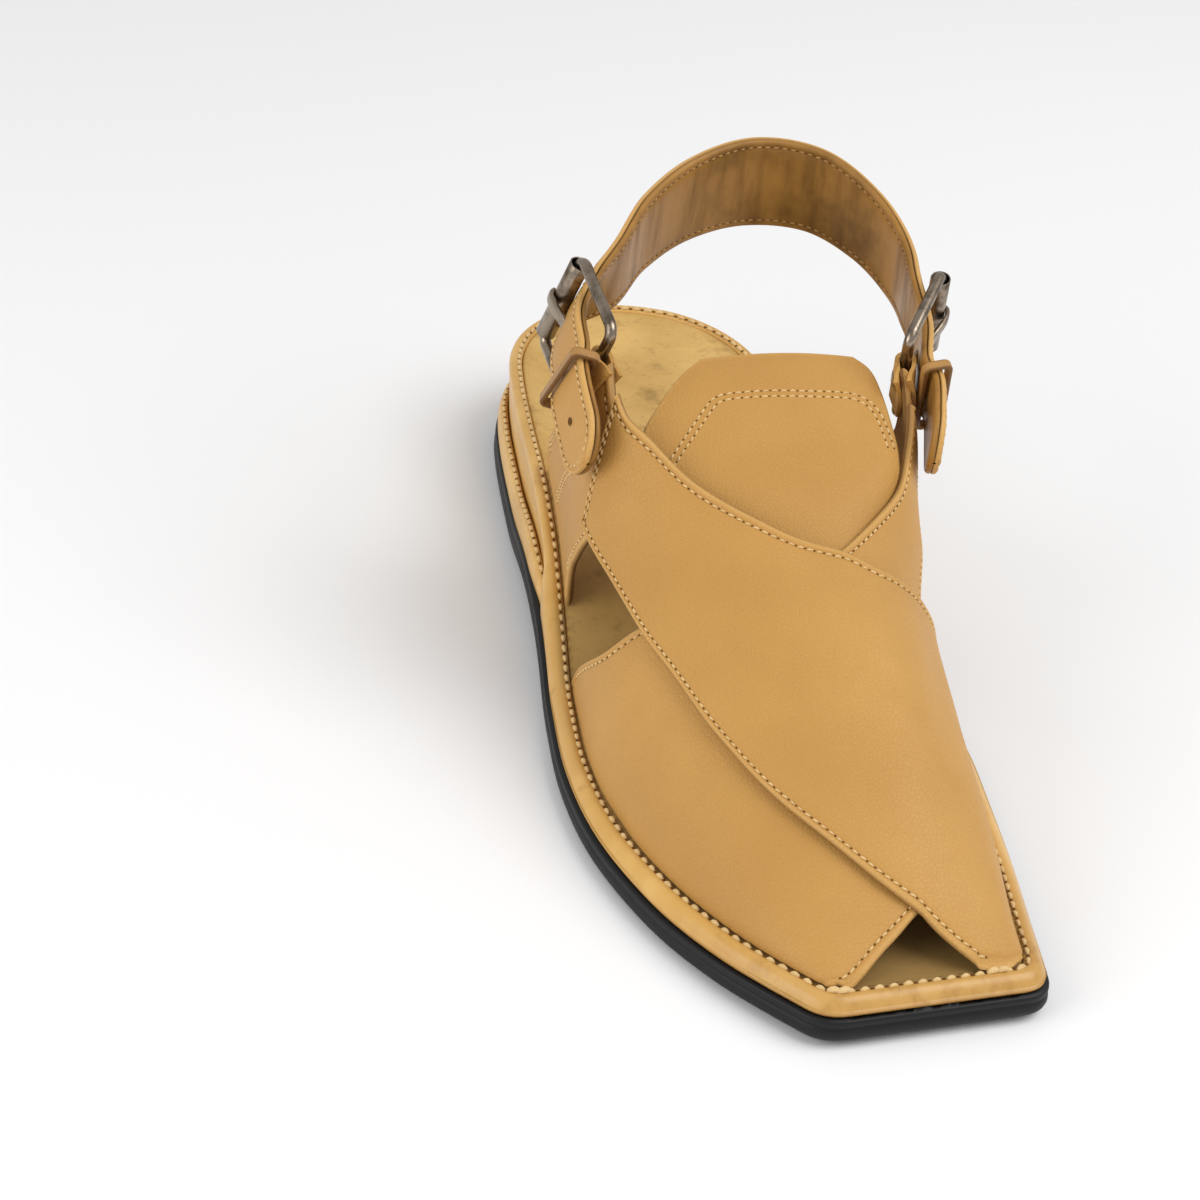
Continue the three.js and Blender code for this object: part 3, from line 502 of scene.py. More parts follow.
def column(rows, name, y):
    """One column of a table with stations y, as a smooth curve."""
    ys, values = rows["y"], rows[name]
    count = np.arange(len(ys))
    low, high = np.maximum(count - 1, 0), np.minimum(count + 1, count[-1])
    slope = (values[high] - values[low]) / (ys[high] - ys[low])
    y = np.clip(np.asarray(y, float), ys[0], ys[-1])
    i = np.clip(np.searchsorted(ys, y, side="left") - 1, 0, count[-2])
    span = ys[i + 1] - ys[i]
    return cubic(values[i], values[i + 1], slope[i] * span, slope[i + 1] * span, (y - ys[i]) / span)


def pairs(rows, names):
    """Some columns of a table, side by side."""
    return np.stack([rows[name] for name in names.split()], 1)


def unit(vectors):
    return vectors / np.maximum(np.linalg.norm(vectors, axis=-1, keepdims=True), 1e-9)


def arc_lengths(points):
    steps = np.linalg.norm(np.diff(points, axis=0), axis=1)
    return np.concatenate([[0], np.cumsum(steps)])


def read_along(path, run, places):
    """Where a path is, at distances along it."""
    return np.stack([np.interp(places, run, line) for line in path.T], 1)


def halved(low, high, past):
    """Where past turns true between low and high, found by halving."""
    for _ in range(HALVINGS):
        middle = (low + high) / 2
        beyond = past(middle)
        low, high = np.where(beyond, low, middle), np.where(beyond, middle, high)
    return (low + high) / 2


# Sole form
def bottom_z(y):
    arch = ARCH["rise"] * ramp(y, ARCH["fore"]) * ramp(y, ARCH["heel"])
    return arch + TOE_SPRING["rise"] * ramp(y, TOE_SPRING)


def outsole_top(y):
    fore, heel = OUTSOLE_THICK["fore"], OUTSOLE_THICK["heel"]
    return bottom_z(y) + fore + (heel - fore) * ramp(y, OUTSOLE_THICK)


def rim_top(y):
    rise = (RIM["heel"] - RIM["fore"]) * ramp(y, RIM)
    return RIM["fore"] + rise + TOE_LIFT["rise"] * ramp(y, TOE_LIFT)


def from_rim(below):
    """Heights at a distance below the platform's rim."""
    return lambda y: rim_top(y) - below


def feather_z(y):
    return rim_top(y) - INSOLE_DROP + FEATHER_UP


def side_stations(side):
    """Points on one side of the sole's edge, from the middle of the heel to its last station."""
    across = pairs(OUTLINE, SIDE_NAMES[-side] + " y")[1]
    points = np.vstack([across, pairs(OUTLINE, SIDE_NAMES[side] + " y")])
    count = PER_STATION * (len(points) - 1)
    return spline(points, np.linspace(0, 1, count + 1))[PER_STATION:]


def outward_of(along, side):
    turned = np.stack([along[..., 1], -along[..., 0]], -1)
    return turned if side == LATERAL else -turned


def crossing(p, d, q, e):
    """Where the line through p along d meets the line through q along e."""
    cross = d[0] * e[1] - d[1] * e[0]
    t = ((q[0] - p[0]) * e[1] - (q[1] - p[1]) * e[0]) / cross
    return p + d * t


def half_outline(side, inset):
    """One side of the sole's edge, from the middle of the heel to the middle of the toe."""
    edge = side_stations(side)
    corner = TOE_CORNER[side]
    middle = (TOE_CORNER[LATERAL] + TOE_CORNER[MEDIAL]) / 2
    run = np.vstack([side_stations(-side)[1], edge, corner])
    outward = outward_of(unit(run[2:] - run[:-2]), side)
    edge = edge - outward * np.reshape(inset(edge[:, 1]), (-1, 1))
    reach = float(inset(np.array(corner[1])))
    side_run, toe_run = unit(corner - run[-2]), unit(middle - corner)
    side_out, toe_out = outward_of(side_run, side), outward_of(toe_run, side)
    turn = crossing(corner - side_out * reach, side_run, corner - toe_out * reach, toe_run)
    middle = middle - toe_out * reach
    leg = TOE_CORNER_ROUND * (1 - reach / SHARP_INSET)
    start = turn + unit(edge[-1] - turn) * leg
    end = turn + toe_run * leg
    t = np.linspace(0, 1, CORNER_STEPS + 1)[:, None]
    bend = (1 - t) ** 2 * start + 2 * t * (1 - t) * turn + t * t * end
    toe = end + (middle - end) * np.linspace(0, 1, TOE_STEPS + 1)[1:, None]
    return np.vstack([edge, bend, toe])


def sole_ring(inset, height):
    """The whole edge of the sole at a height, drawn in by an inset that may change along y."""
    draw = inset if callable(inset) else (lambda y: np.full(np.shape(y), float(inset)))
    loop = np.vstack([half_outline(LATERAL, draw), half_outline(MEDIAL, draw)[1:-1][::-1]])
    return np.column_stack([loop, height(loop[:, 1])])


def drawn_to_middle(ring, height, shares):
    """Rings that close a slab: each point moves towards the one across from it."""
    across = ring[(-np.arange(len(ring))) % len(ring)]
    rings = []
    for share in shares:
        inner = ring + (across - ring) * share / 2
        inner[:, 2] = height(inner[:, 1])
        rings.append(inner)
    return rings


# The last
def feather_points(side):
    points = np.vstack([side_stations(side), TOE_CORNER[side]])
    before = np.vstack([points[:1], points[:-1]])
    after = np.vstack([points[1:], points[-1:]])
    return points - outward_of(unit(after - before), side) * FEATHER_INSET


FEATHER = {side: feather_points(side) for side in (LATERAL, MEDIAL)}


def feather_x(side, y):
    points = FEATHER[side][::-1]
    return np.interp(y, points[:, 1], points[:, 0])


def last_skin(y, v):
    """The last's surface at station y and girth v: -1 at the lateral feather, 1 at the medial."""
    y, v = np.broadcast_arrays(np.asarray(y, float), np.asarray(v, float))
    lateral = v < 0
    t = np.abs(v)

    def of_side(name):
        return np.where(lateral, column(LAST, name + "_l", y), column(LAST, name + "_m", y))

    crown_x = column(LAST, "crown_x", y)
    base = feather_z(y)
    width = np.where(lateral, feather_x(LATERAL, y), feather_x(MEDIAL, y)) - crown_x
    height = column(LAST, "crown_z", y) - base
    bulge = np.where(lateral, -1, 1) * of_side("lean")
    near, far = 3 * (1 - t) ** 2 * t, 3 * (1 - t) * t * t
    x = crown_x + near * of_side("roof") * width + far * (width + bulge) + t**3 * width
    z = base + height * ((1 - t) ** 3 + near + far * of_side("wall"))
    return np.stack([x, y, z], -1)


def last_normal(y, v):
    step_y, step_v = LAST_STEP["y"], LAST_STEP["v"]
    girth = np.clip(v, step_v - 1, 1 - step_v)
    along_y = last_skin(np.add(y, step_y), girth) - last_skin(np.subtract(y, step_y), girth)
    along_v = last_skin(y, girth + step_v) - last_skin(y, girth - step_v)
    return unit(np.cross(along_v, along_y))


def last_point(y, v, lift):
    return last_skin(y, v) + last_normal(y, v) * np.asarray(lift)[..., None]


def girth_where(y, low, high, reached):
    y = np.asarray(y, float)
    ends = np.full(y.shape, float(low)), np.full(y.shape, float(high))
    return halved(*ends, lambda girth: reached(last_skin(y, girth)))


def wall_girth(side, y, z):
    return girth_where(y, WALL_FROM * side, side, lambda point: point[..., 2] < z)


def dents(y, v):
    """Soft dents and swells of worn leather, in millimetres of lift."""
    total = np.zeros(np.shape(y))
    for at_y, at_v, run, long, wide, depth in zip(*DENTS.values()):
        cos, sin = math.cos(math.radians(run)), math.sin(math.radians(run))
        dy, dv = y - at_y, (v - at_v) * DENT_GIRTH
        along, beside = dy * cos + dv * sin, dv * cos - dy * sin
        total = total + depth * bell(along, 0, long) * bell(beside, 0, wide)
    return total


# Mesh helpers
def deselect():
    bpy.ops.object.select_all(action="DESELECT")


def chosen(*pieces):
    """Selects these pieces alone, with the first as the active one."""
    deselect()
    for piece in pieces:
        piece.select_set(True)
    bpy.context.view_layer.objects.active = pieces[0]


def laid_grid(name, points, finish):
    """A grid primitive whose lines of vertices are laid out in space at points[row, column]."""
    rows, columns = points.shape[:2]
    deselect()
    bpy.ops.mesh.primitive_grid_add(x_subdivisions=columns - 1, y_subdivisions=rows - 1, size=1)
    piece = bpy.context.object
    piece.name = name
    piece.data.name = name
    placed = (points + CENTRE_SHIFT) * MM
    piece.data.vertices.foreach_set("co", placed.astype(np.float32).ravel())
    piece.data.materials.append(finish)
    piece.data.update()
    return piece


def mark(piece, name, values):
    """A value at each vertex that the finish reads."""
    layer = piece.data.attributes.new(name, "FLOAT", "POINT")
    layer.data.foreach_set("value", np.asarray(values, np.float32).ravel())


def joined(*pieces):
    chosen(*pieces)
    bpy.ops.object.join()
    return pieces[0]


def sewn(piece, fill=False):
    """Closes the seams of a piece, fills its ends if asked, and turns its faces out."""
    chosen(piece)
    bpy.ops.object.mode_set(mode="EDIT")
    bpy.ops.mesh.select_all(action="SELECT")
    bpy.ops.mesh.remove_doubles(threshold=WELD * MM)
    bpy.ops.mesh.select_all(action="SELECT")
    if fill:
        bpy.ops.mesh.fill_holes(sides=0)
        bpy.ops.mesh.select_all(action="SELECT")
    bpy.ops.mesh.normals_make_consistent(inside=False)
    bpy.ops.object.mode_set(mode="OBJECT")
    bpy.ops.object.shade_smooth()
    return piece


def two_sided(name, outer, inner, lining, **marks):
    """Leather from its two faces, which meet along the edge."""
    layers = laid_grid(name, outer, LEATHER), laid_grid(name + "_under", inner, lining)
    for layer in layers:
        for key, values in marks.items():
            mark(layer, key, values)
    return sewn(joined(*layers))


def finished(piece, kind, **settings):
    """Adds a modifier and applies it."""
    chosen(piece)
    modifier = piece.modifiers.new(kind.lower(), kind)
    for name, value in settings.items():
        setattr(modifier, name, value)
    bpy.ops.object.modifier_apply(modifier=modifier.name)


def belongs(piece, slot, *nodes):
    """Puts a finished piece on the shoe, in place of the solids that it stands for."""
    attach(piece, "root")
    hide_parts(*nodes)


# Finishes
class Wire:
    """A socket that takes part in sums: each sign adds a Math node."""

    def __init__(self, finish, socket):
        self.finish = finish
        self.socket = socket

    def maths(self, operation, first, second):
        return self.finish.node("ShaderNodeMath", {0: first, 1: second}, operation=operation)

    def __add__(self, other):
        return self.maths("ADD", self, other)

    def __sub__(self, other):
        return self.maths("SUBTRACT", self, other)

    def __rsub__(self, other):
        return self.maths("SUBTRACT", other, self)

    def __mul__(self, other):
        return self.maths("MULTIPLY", self, other)

    __radd__ = __add__
    __rmul__ = __mul__


class Finish:
    """A material of this shoe, with one method that adds any node."""

    def __init__(self, name, **constants):
        self.material = bpy.data.materials.new(name)
        self.material.use_nodes = True
        self.tree = self.material.node_tree
        self.shader = self.tree.nodes["Principled BSDF"]
        self.paint(**constants)

    def node(self, kind, sockets, output=0, **settings):
        made = self.tree.nodes.new(kind)
        for name, value in settings.items():
            setattr(made, name, value)
        for key, value in sockets.items():
            self.feed(made.inputs[key], value)
        return Wire(self, made.outputs[output])

    def feed(self, socket, value):
        if isinstance(value, Wire):
            self.tree.links.new(value.socket, socket)
        else:
            socket.default_value = value

    def paint(self, **inputs):
        for name, value in inputs.items():
            self.feed(self.shader.inputs[name.replace("_", " ")], value)
        return self.material

    def place(self, stretch=(1, 1, 1)):
        where = self.node("ShaderNodeTexCoord", {}, output="Object")
        return self.node("ShaderNodeMapping", {"Vector": where, "Scale": stretch})

    def noise(self, where, scale, detail=3, roughness=0.55):
        sockets = {"Vector": where, "Scale": scale, "Detail": detail, "Roughness": roughness}
        return self.node("ShaderNodeTexNoise", sockets)

    def between(self, value, low, high):
        """0 below low, 1 above high and a soft step between them."""
        sockets = {"Value": value, "From Min": low, "From Max": high}
        return self.node("ShaderNodeMapRange", sockets, interpolation_type="SMOOTHSTEP")

    def mix(self, share, first, second):
        sockets = {0: share, 6: first, 7: second}
        return self.node("ShaderNodeMix", sockets, output=2, data_type="RGBA")

    def layers(self, tone, *coats):
        """A tone with coats of other colours over it, each with its share."""
        for share, coat in coats:
            tone = self.mix(share, tone, coat)
        return tone

    def bump(self, height, distance, strength, **normal):
        sockets = {"Height": height, "Distance": distance * MM, "Strength": strength, **normal}
        return self.node("ShaderNodeBump", sockets)

    def mark(self, name):
        return self.node("ShaderNodeAttribute", {}, output="Fac", attribute_name=name)


def colour(red, green, blue):
    """A colour from its values on a screen, 0 to 255."""
    def linear(value):
        share = value / 255
        return share / 12.92 if share <= 0.04045 else ((share + 0.055) / 1.055) ** 2.4
    return (linear(red), linear(green), linear(blue), 1)


# Dark brown of cut edges: their own colour, and along the sheets' edges partly painted shade
BURNT_EDGE_AND_SHADE = colour(104, 68, 30)


def leather_finish(name, light, deep, bright, rough, coat):
    """Smooth grained leather: clouds of tone, pores, a paler rolled edge, painted shade in seam
    troughs, and dark cuts, partly painted shade.
    """
    leather = Finish(name, Coat_Roughness=0.4, Specular_IOR_Level=0.27)
    where = leather.place()
    clouds = leather.between(leather.noise(where, 16), 0.25, 0.75)
    mottle = leather.between(leather.noise(where, 160, 4, 0.65), 0.4, 0.75)
    pores = leather.noise(where, 1500, 3, 0.6)
    cells = leather.node(
        "ShaderNodeTexVoronoi", {"Vector": where, "Scale": 900.0}, feature="DISTANCE_TO_EDGE")
    furrows = 1 - leather.between(cells, 0.0, 0.18)
    rim = leather.mark("rim")
    tone = leather.layers(
        leather.mix(clouds, deep, light),
        (mottle * 0.2, deep),
        (rim * 0.55, bright),
        # Painted shade along the troughs where the seams sink into the leather
        (leather.mark("seam") * 0.4, deep),
        (furrows * 0.16, deep),
        # Darker cut edges: partly their own colour, partly painted shade under the sheets' edges
        (leather.mark("cut") * 0.85, BURNT_EDGE_AND_SHADE),
    )
    return leather.paint(
        Base_Color=tone,
        Roughness=rough - 0.08 + leather.noise(where, 60) * 0.16 + furrows * 0.05,
        Coat_Weight=rim * 0.15 + coat,
        Normal=leather.bump(pores * 0.6 - furrows * 0.5, 0.15, 0.7),
    )


def lining_finish(name, light, deep, dark):
    """The strap's lining, polished by the heel: streaks across it, dark smears and a worn gloss."""
    lining = Finish(name, Coat_Roughness=0.35, Specular_IOR_Level=0.18)
    where = lining.place()
    streaks = lining.between(lining.noise(lining.place((1, 1, 0.16)), 150, 4, 0.6), 0.4, 0.7)
    smears = lining.between(lining.noise(where, 38, 4, 0.6), 0.42, 0.72)
    pores = lining.noise(where, 1500, 3, 0.6)
    tone = lining.layers(
        light,
        (streaks * 0.6, deep),
        (smears * 0.6, dark),
        (lining.mark("rim") * 0.5, light),
        (lining.mark("cut") * 0.85, dark),
    )
    return lining.paint(
        Base_Color=tone,
        Roughness=0.3 + streaks * 0.14 + smears * 0.1,
        Coat_Weight=0.06 - smears * 0.04,
        Normal=lining.bump(pores + streaks * 0.8, 0.08, 0.5),
    )


def suede_finish(name, light, deep):
    """The unlined flesh side of the leather, with its cut edges darkened, partly by painted shade.
    """
    suede = Finish(name, Specular_IOR_Level=0.25)
    where = suede.place()
    nap = suede.noise(where, 2400, 2, 0.7)
    clouds = suede.between(suede.noise(where, 45, 4), 0.3, 0.7)
    tone = suede.layers(
        # Cut edges darkened, partly with painted shade
        suede.mix(clouds, deep, light), (nap * 0.25, deep), (suede.mark("cut"), BURNT_EDGE_AND_SHADE))
    return suede.paint(
        Base_Color=tone, Roughness=0.72 + nap * 0.2, Normal=suede.bump(nap, 0.12, 0.6))


def wrap_finish(name):
    """Burnished leather pulled over the platform: streaks up the wall, a soft gloss, and painted
    shade along its stitch rows and at the foot of the wall.
    """
    light, deep, burnish_and_shade = colour(222, 178, 102), colour(204, 156, 78), colour(150, 102, 42)
    wrap = Finish(name, Coat_Roughness=0.3, Specular_IOR_Level=0.4)
    where = wrap.place()
    streaks = wrap.between(wrap.noise(wrap.place((1, 1, 0.22)), 230, 4, 0.6), 0.42, 0.72)
    clouds = wrap.between(wrap.noise(where, 32), 0.3, 0.7)
    stains = wrap.between(wrap.noise(where, 75, 5, 0.6), 0.56, 0.74)
    pores = wrap.noise(where, 1300, 3, 0.6)
    tone = wrap.layers(
        wrap.mix(clouds, deep, light),
        (streaks * 0.5, deep),
        (stains * 0.4, burnish_and_shade),
        # Painted shade along the stitch rows of the rim and the heel lip
        (wrap.mark("seam") * 0.4, burnish_and_shade),
        # Painted shade at the foot of the wall, by the outsole
        (wrap.mark("foot") * 0.6, burnish_and_shade),
        (wrap.mark("toe") * (0.28 + streaks * 0.25 + stains * 0.3), burnish_and_shade),
    )
    return wrap.paint(
        Base_Color=tone,
        Roughness=0.34 + clouds * 0.1 + stains * 0.08,
        Coat_Weight=0.22 - stains * 0.12,
        Normal=wrap.bump(pores, 0.06, 0.45, Normal=wrap.bump(streaks, 0.12, 0.4)),
    )


def footbed_finish(name):
    """Matt footbed leather, mottled and smudged, and darker towards the toe with painted shade
    under the bands.
    """
    light, deep, smudge_and_shade = colour(222, 182, 110), colour(196, 156, 88), colour(122, 94, 50)
    bed = Finish(name, Specular_IOR_Level=0.3)
    where = bed.place()
    clouds = bed.between(bed.noise(where, 30, 4), 0.3, 0.7)
    patches = bed.between(bed.noise(where, 85, 5, 0.62), 0.52, 0.74)
    specks = bed.between(bed.noise(where, 700, 3, 0.6), 0.56, 0.7)
    nap = bed.noise(where, 1700, 3, 0.65)
    tone = bed.layers(
        bed.mix(clouds, deep, light),
        (patches * 0.55, smudge_and_shade),
        (specks * 0.25, smudge_and_shade),
        # Painted shade: the footbed grows darker towards the toe, under the bands
        (bed.mark("toe") * 0.8, smudge_and_shade),
    )
    return bed.paint(
        Base_Color=tone,
        Roughness=0.6 + patches * 0.12 + nap * 0.08,
        Normal=bed.bump(nap, 0.08, 0.5),
    )


def rubber_finish(name):
    """Black moulded rubber with a dusty bloom and fine tread lines underneath."""
    black, bloom = colour(14, 14, 15), colour(36, 36, 38)
    rubber = Finish(name, Specular_IOR_Level=0.32)
    where = rubber.place()
    dust = rubber.between(rubber.noise(where, 90, 5, 0.65), 0.52, 0.78)
    skin = rubber.noise(where, 1100, 3, 0.6)
    tread = rubber.node(
        "ShaderNodeTexWave", {"Vector": where, "Scale": 55.0, "Distortion": 0.0},
        wave_type="BANDS", bands_direction="Y")
    return rubber.paint(
        Base_Color=rubber.mix(dust * 0.45, black, bloom),
        Roughness=0.46 + dust * 0.18 + skin * 0.06,
        Normal=rubber.bump(skin * 0.25 + tread * rubber.mark("under"), 0.25, 0.5),
    )


def nickel_finish(name):
    """Antique nickel plate, drawn along the wire, darker in patches and inside a tube."""
    # The last colour darkens the inside of the roller's bore
    bright, dull, bore_dark = colour(158, 144, 127), colour(54, 43, 33), colour(26, 22, 18)
    nickel = Finish(name, Metallic=1.0, Specular_IOR_Level=0.5)
    patina = nickel.between(nickel.noise(nickel.place(), 190, 4, 0.6), 0.42, 0.72)
    lines = nickel.noise(nickel.place((1, 1, 0.12)), 2600, 2, 0.6)
    bore = nickel.mark("bore")
    return nickel.paint(
        Base_Color=nickel.layers(bright, (patina * 0.75, dull), (bore, bore_dark)),
        Roughness=0.2 + patina * 0.18 + lines * 0.08 + bore * 0.3,
        Normal=nickel.bump(lines, 0.02, 0.4),
    )


def thread_finish(name, pale, dark):
    """Waxed thread with the twist of its plies."""
    thread = Finish(name, Specular_IOR_Level=0.35)
    where = thread.place()
    plies = thread.noise(where, 2600, 2, 0.6)
    wear = thread.between(thread.noise(where, 120), 0.45, 0.7)
    tone = thread.layers(pale, (wear * 0.4, dark), (thread.between(plies, 0.5, 0.72) * 0.35, dark))
    twist = thread.bump(plies, 0.08, 0.6)
    return thread.paint(Base_Color=tone, Roughness=0.55 + plies * 0.15, Normal=twist)


def plain_finish(name, gloss, first, second, scale, rough, spread):
    """One colour that wavers a little: painted shade for the inside of a hole, or the studio floor.
    """
    plain = Finish(name, Specular_IOR_Level=gloss)
    shade = plain.noise(plain.place(), scale, 2)
    return plain.paint(Base_Color=plain.mix(shade, first, second), Roughness=rough + shade * spread)


LEATHER = leather_finish(
    "tan_leather", colour(200, 152, 82), colour(184, 136, 69), colour(220, 175, 104), 0.5, 0.03)
STRAP_LINING = lining_finish(
    "strap_lining", colour(164, 119, 58), colour(98, 65, 25), colour(52, 32, 11))
CUT_LEATHER = leather_finish(
    "keeper_leather", colour(184, 138, 78), colour(150, 108, 56), colour(118, 78, 40), 0.42, 0.12)
SUEDE = suede_finish("flesh_side", colour(170, 130, 76), colour(132, 96, 52))
WRAP = wrap_finish("wrapped_leather")
FOOTBED = footbed_finish("footbed_leather")
RUBBER = rubber_finish("moulded_rubber")
NICKEL = nickel_finish("antique_nickel")
SEAM_FINISHES = {
    "cream": thread_finish("cream_thread", colour(222, 190, 134), colour(178, 138, 82)),
    # Dark discs of painted shade for the stitch and strap holes
    "hole_shade": plain_finish("stitch_hole_shade", 0.1, colour(84, 54, 22), colour(118, 80, 36), 900, 0.8, 0.1),
    "tan": thread_finish("tan_thread", colour(176, 134, 80), colour(120, 84, 42)),
}
SEAM_SLOTS = {tint: index for index, tint in enumerate(SEAM_FINISHES)}


# Stitches
def modelled_once(kind, **settings):
    """Vertices and faces of a small shape, taken from a primitive that is then removed."""
    deselect()
    getattr(bpy.ops.mesh, kind)(**settings)
    shape = bpy.context.object
    points = np.array([vertex.co for vertex in shape.data.vertices])
    faces = [tuple(face.vertices) for face in shape.data.polygons]
    bpy.data.objects.remove(shape)
    return points, faces


BEAD = modelled_once(
    "primitive_uv_sphere_add", segments=6, ring_count=6, radius=1, rotation=(0, math.pi / 2, 0))
PUNCH = modelled_once("primitive_circle_add", vertices=7, radius=1, fill_type="TRIFAN")


def modelled_bead(thread):
    """A stitch of thread, lying along x with its ends pulled down into their holes."""
    radius = thread["radius"]
    bead = BEAD[0] * (thread["long"] / 2, radius, radius)
    bead[:, 2] -= STITCH["droop"] * radius * BEAD[0][:, 0] ** 2
    return bead


class Seams:
    """The stitches of one piece, gathered into one mesh."""

    def __init__(self, name):
        self.name = name
        self.points = []
        self.faces = []
        self.finishes = []
        self.count = 0

    def add(self, shape, places, tint):
        points, faces = shape
        for placed in places:
            self.points.append(placed)
            self.faces.extend(tuple(k + self.count for k in face) for face in faces)
            self.finishes.extend([SEAM_SLOTS[tint]] * len(faces))
            self.count += len(points)

    def row(self, path, normals, thread, closed=False, tint="cream"):
        """Stitches along a path, each bedded in the leather, with a hole at each end painted as a
        dark disc of shade.
        """
        run = arc_lengths(path)
        count = max(int(run[-1] / thread["pitch"]), 1)
        pitch = run[-1] / count

        def at(places):
            up = unit(read_along(normals, run, places))
            behind, here, ahead = (
                read_along(path, run, places + k * STITCH["look"]) for k in (-1, 0, 1))
            along = ahead - behind
            along = unit(along - up * np.sum(along * up, 1, keepdims=True))
            return here, along, np.cross(up, along), up

        spot, along, side, up = at((np.arange(count) + 0.5) * pitch)
        turn = RANDOM.normal(STITCH["turn"], STITCH["turn_spread"], (count, 1))
        size = 1 + RANDOM.normal(0, STITCH["size_spread"], (count, 1, 1))
        axes = np.stack([along + side * turn, side - along * turn, up], 1)
        beads = (spot + up * thread["stand"])[:, None] + size * (modelled_bead(thread) @ axes)
        self.add(BEAD, beads, tint)
        spot, *axes = at(np.arange(count + (0 if closed else 1)) * pitch)
        discs = PUNCH[0] * thread["hole"] @ np.stack(axes, 1)
        # A dark disc at each hole: painted shade in place of its depth
        self.add(PUNCH, (spot + axes[2] * STITCH["hole_lift"])[:, None] + discs, "hole_shade")

    def made(self):
        mesh = bpy.data.meshes.new(self.name)
        points = (np.concatenate(self.points) + CENTRE_SHIFT) * MM
        mesh.from_pydata(points.tolist(), [], self.faces)
        for finish in SEAM_FINISHES.values():
            mesh.materials.append(finish)
        mesh.polygons.foreach_set("material_index", self.finishes)
        mesh.polygons.foreach_set("use_smooth", [True] * len(self.finishes))
        mesh.update()
        piece = bpy.data.objects.new(self.name, mesh)
        bpy.context.scene.collection.objects.link(piece)
        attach(piece, "root")


# Leather sheets
class Sheet:
    """A piece of leather with rounded edges, laid on a surface that place(u, v, height) gives."""

    def __init__(self, place, thick, lines):
        self.place = place
        self.thick = thick
        fine = np.linspace(0, 1, SAMPLES["sheet"])
        middle = place(np.full(fine.shape, 0.5), fine, np.full(fine.shape, thick))
        self.length = arc_lengths(middle)[-1]
        self.v = self.lines(np.array([self.length]), lines["along"])[0]
        self.widths = self.width_at(self.v)
        self.u = self.lines(self.widths, lines["across"])

    def lines(self, sizes, count):
        """Shares of a size at which there are lines of vertices: close together near both ends."""
        scale = np.minimum(1, EDGE_SHARE * sizes / EDGE_LINES[-1])[:, None]
        near = EDGE_LINES * scale / sizes[:, None]
        inner = np.linspace(0, 1, count + 2)[1:-1]
        middle = near[:, -1:] + (1 - 2 * near[:, -1:]) * inner
        return np.hstack([near, middle, 1 - near[:, ::-1]])

    def width_at(self, v):
        u, v = np.broadcast_arrays(np.linspace(0, 1, SAMPLES["width"]), v[:, None])
        points = self.place(u, v, np.full(u.shape, self.thick))
        return np.linalg.norm(np.diff(points, axis=1), axis=2).sum(1)

    def distances(self):
        """Millimetres from each vertex to each of the four edges."""
        front, start = self.u * self.widths[:, None], self.v[:, None] * self.length + 0 * self.u
        return dict(
            front=front, rear=self.widths[:, None] - front, start=start, end=self.length - start)

    def made(self, name, seams):
        """The piece itself. seams gives the distances of the rows at each stitched edge."""
        away = self.distances()
        nearest = np.maximum(np.minimum.reduce(list(away.values())), 0)
        half = self.thick / 2
        round_edge = np.sqrt(1 - (1 - np.minimum(nearest / half, 1)) ** 2)
        relief, seam = np.zeros_like(nearest), np.zeros_like(nearest)
        for edge, rows in seams.items():
            roll = EDGE_ROLL["rise"] * bell(away[edge], EDGE_ROLL["at"], EDGE_ROLL["wide"])
            relief += roll * round_edge
            for row in rows:
                trough = bell(away[edge], row, SEAM_TROUGH["wide"])
                relief -= SEAM_TROUGH["depth"] * trough
                # The same trough is darkened with painted shade through the seam mark
                seam = np.maximum(seam, trough)
        v = np.broadcast_to(self.v[:, None], self.u.shape)
        outer = self.place(self.u, v, half * (1 + round_edge) + relief)
        inner = self.place(self.u, v, half * (1 - round_edge))
        rim = ramp(nearest, SHEET_MARKS["rim"])
        # Cut edges darkened on the very edge: partly their own colour, partly painted shade
        cut = SHEET_MARKS["cut"]["share"] * ramp(nearest, SHEET_MARKS["cut"])
        return two_sided(name, outer, inner, SUEDE, rim=rim, seam=seam, cut=cut)

    def seam_path(self, edge, row, trim):
        """The line of stitches at a distance from one edge, and the way up from the leather."""
        share = trim[0] + (1 - trim[0] - trim[1]) * np.linspace(0, 1, SAMPLES["seam"])
        if edge == "start":
            u, v = share, np.full(share.shape, row / self.length)
        else:
            inward = row / self.width_at(share)
            u, v = inward if edge == "front" else 1 - inward, share
        height = np.full(share.shape, self.thick - SEAM_TROUGH["depth"] * SEAM_TROUGH["bedded"])
        points = self.place(u, v, height)
        return points, unit(self.place(u, v, height + 1) - points)


def between_edges(rows, first, second):
    """Where a sheet lies between two edges of a table, each edge a pair of columns."""
    one, two = pairs(rows, first), pairs(rows, second)

    def at(u, v):
        share = np.asarray(u)[..., None]
        return np.moveaxis(spline(one, v) * (1 - share) + spline(two, v) * share, -1, 0)

    return at


def toe_tuck(y, girth):
    """How far a band is drawn down where it goes in beside the toe's rim."""
    toe_x, toe_y = np.transpose([TOE_CORNER[LATERAL], TOE_CORNER[MEDIAL]])
    from_toe = y - np.interp(last_skin(y, girth)[..., 0], toe_x, toe_y)
    return TOE_TUCK["share"] * ramp(from_toe, TOE_TUCK)


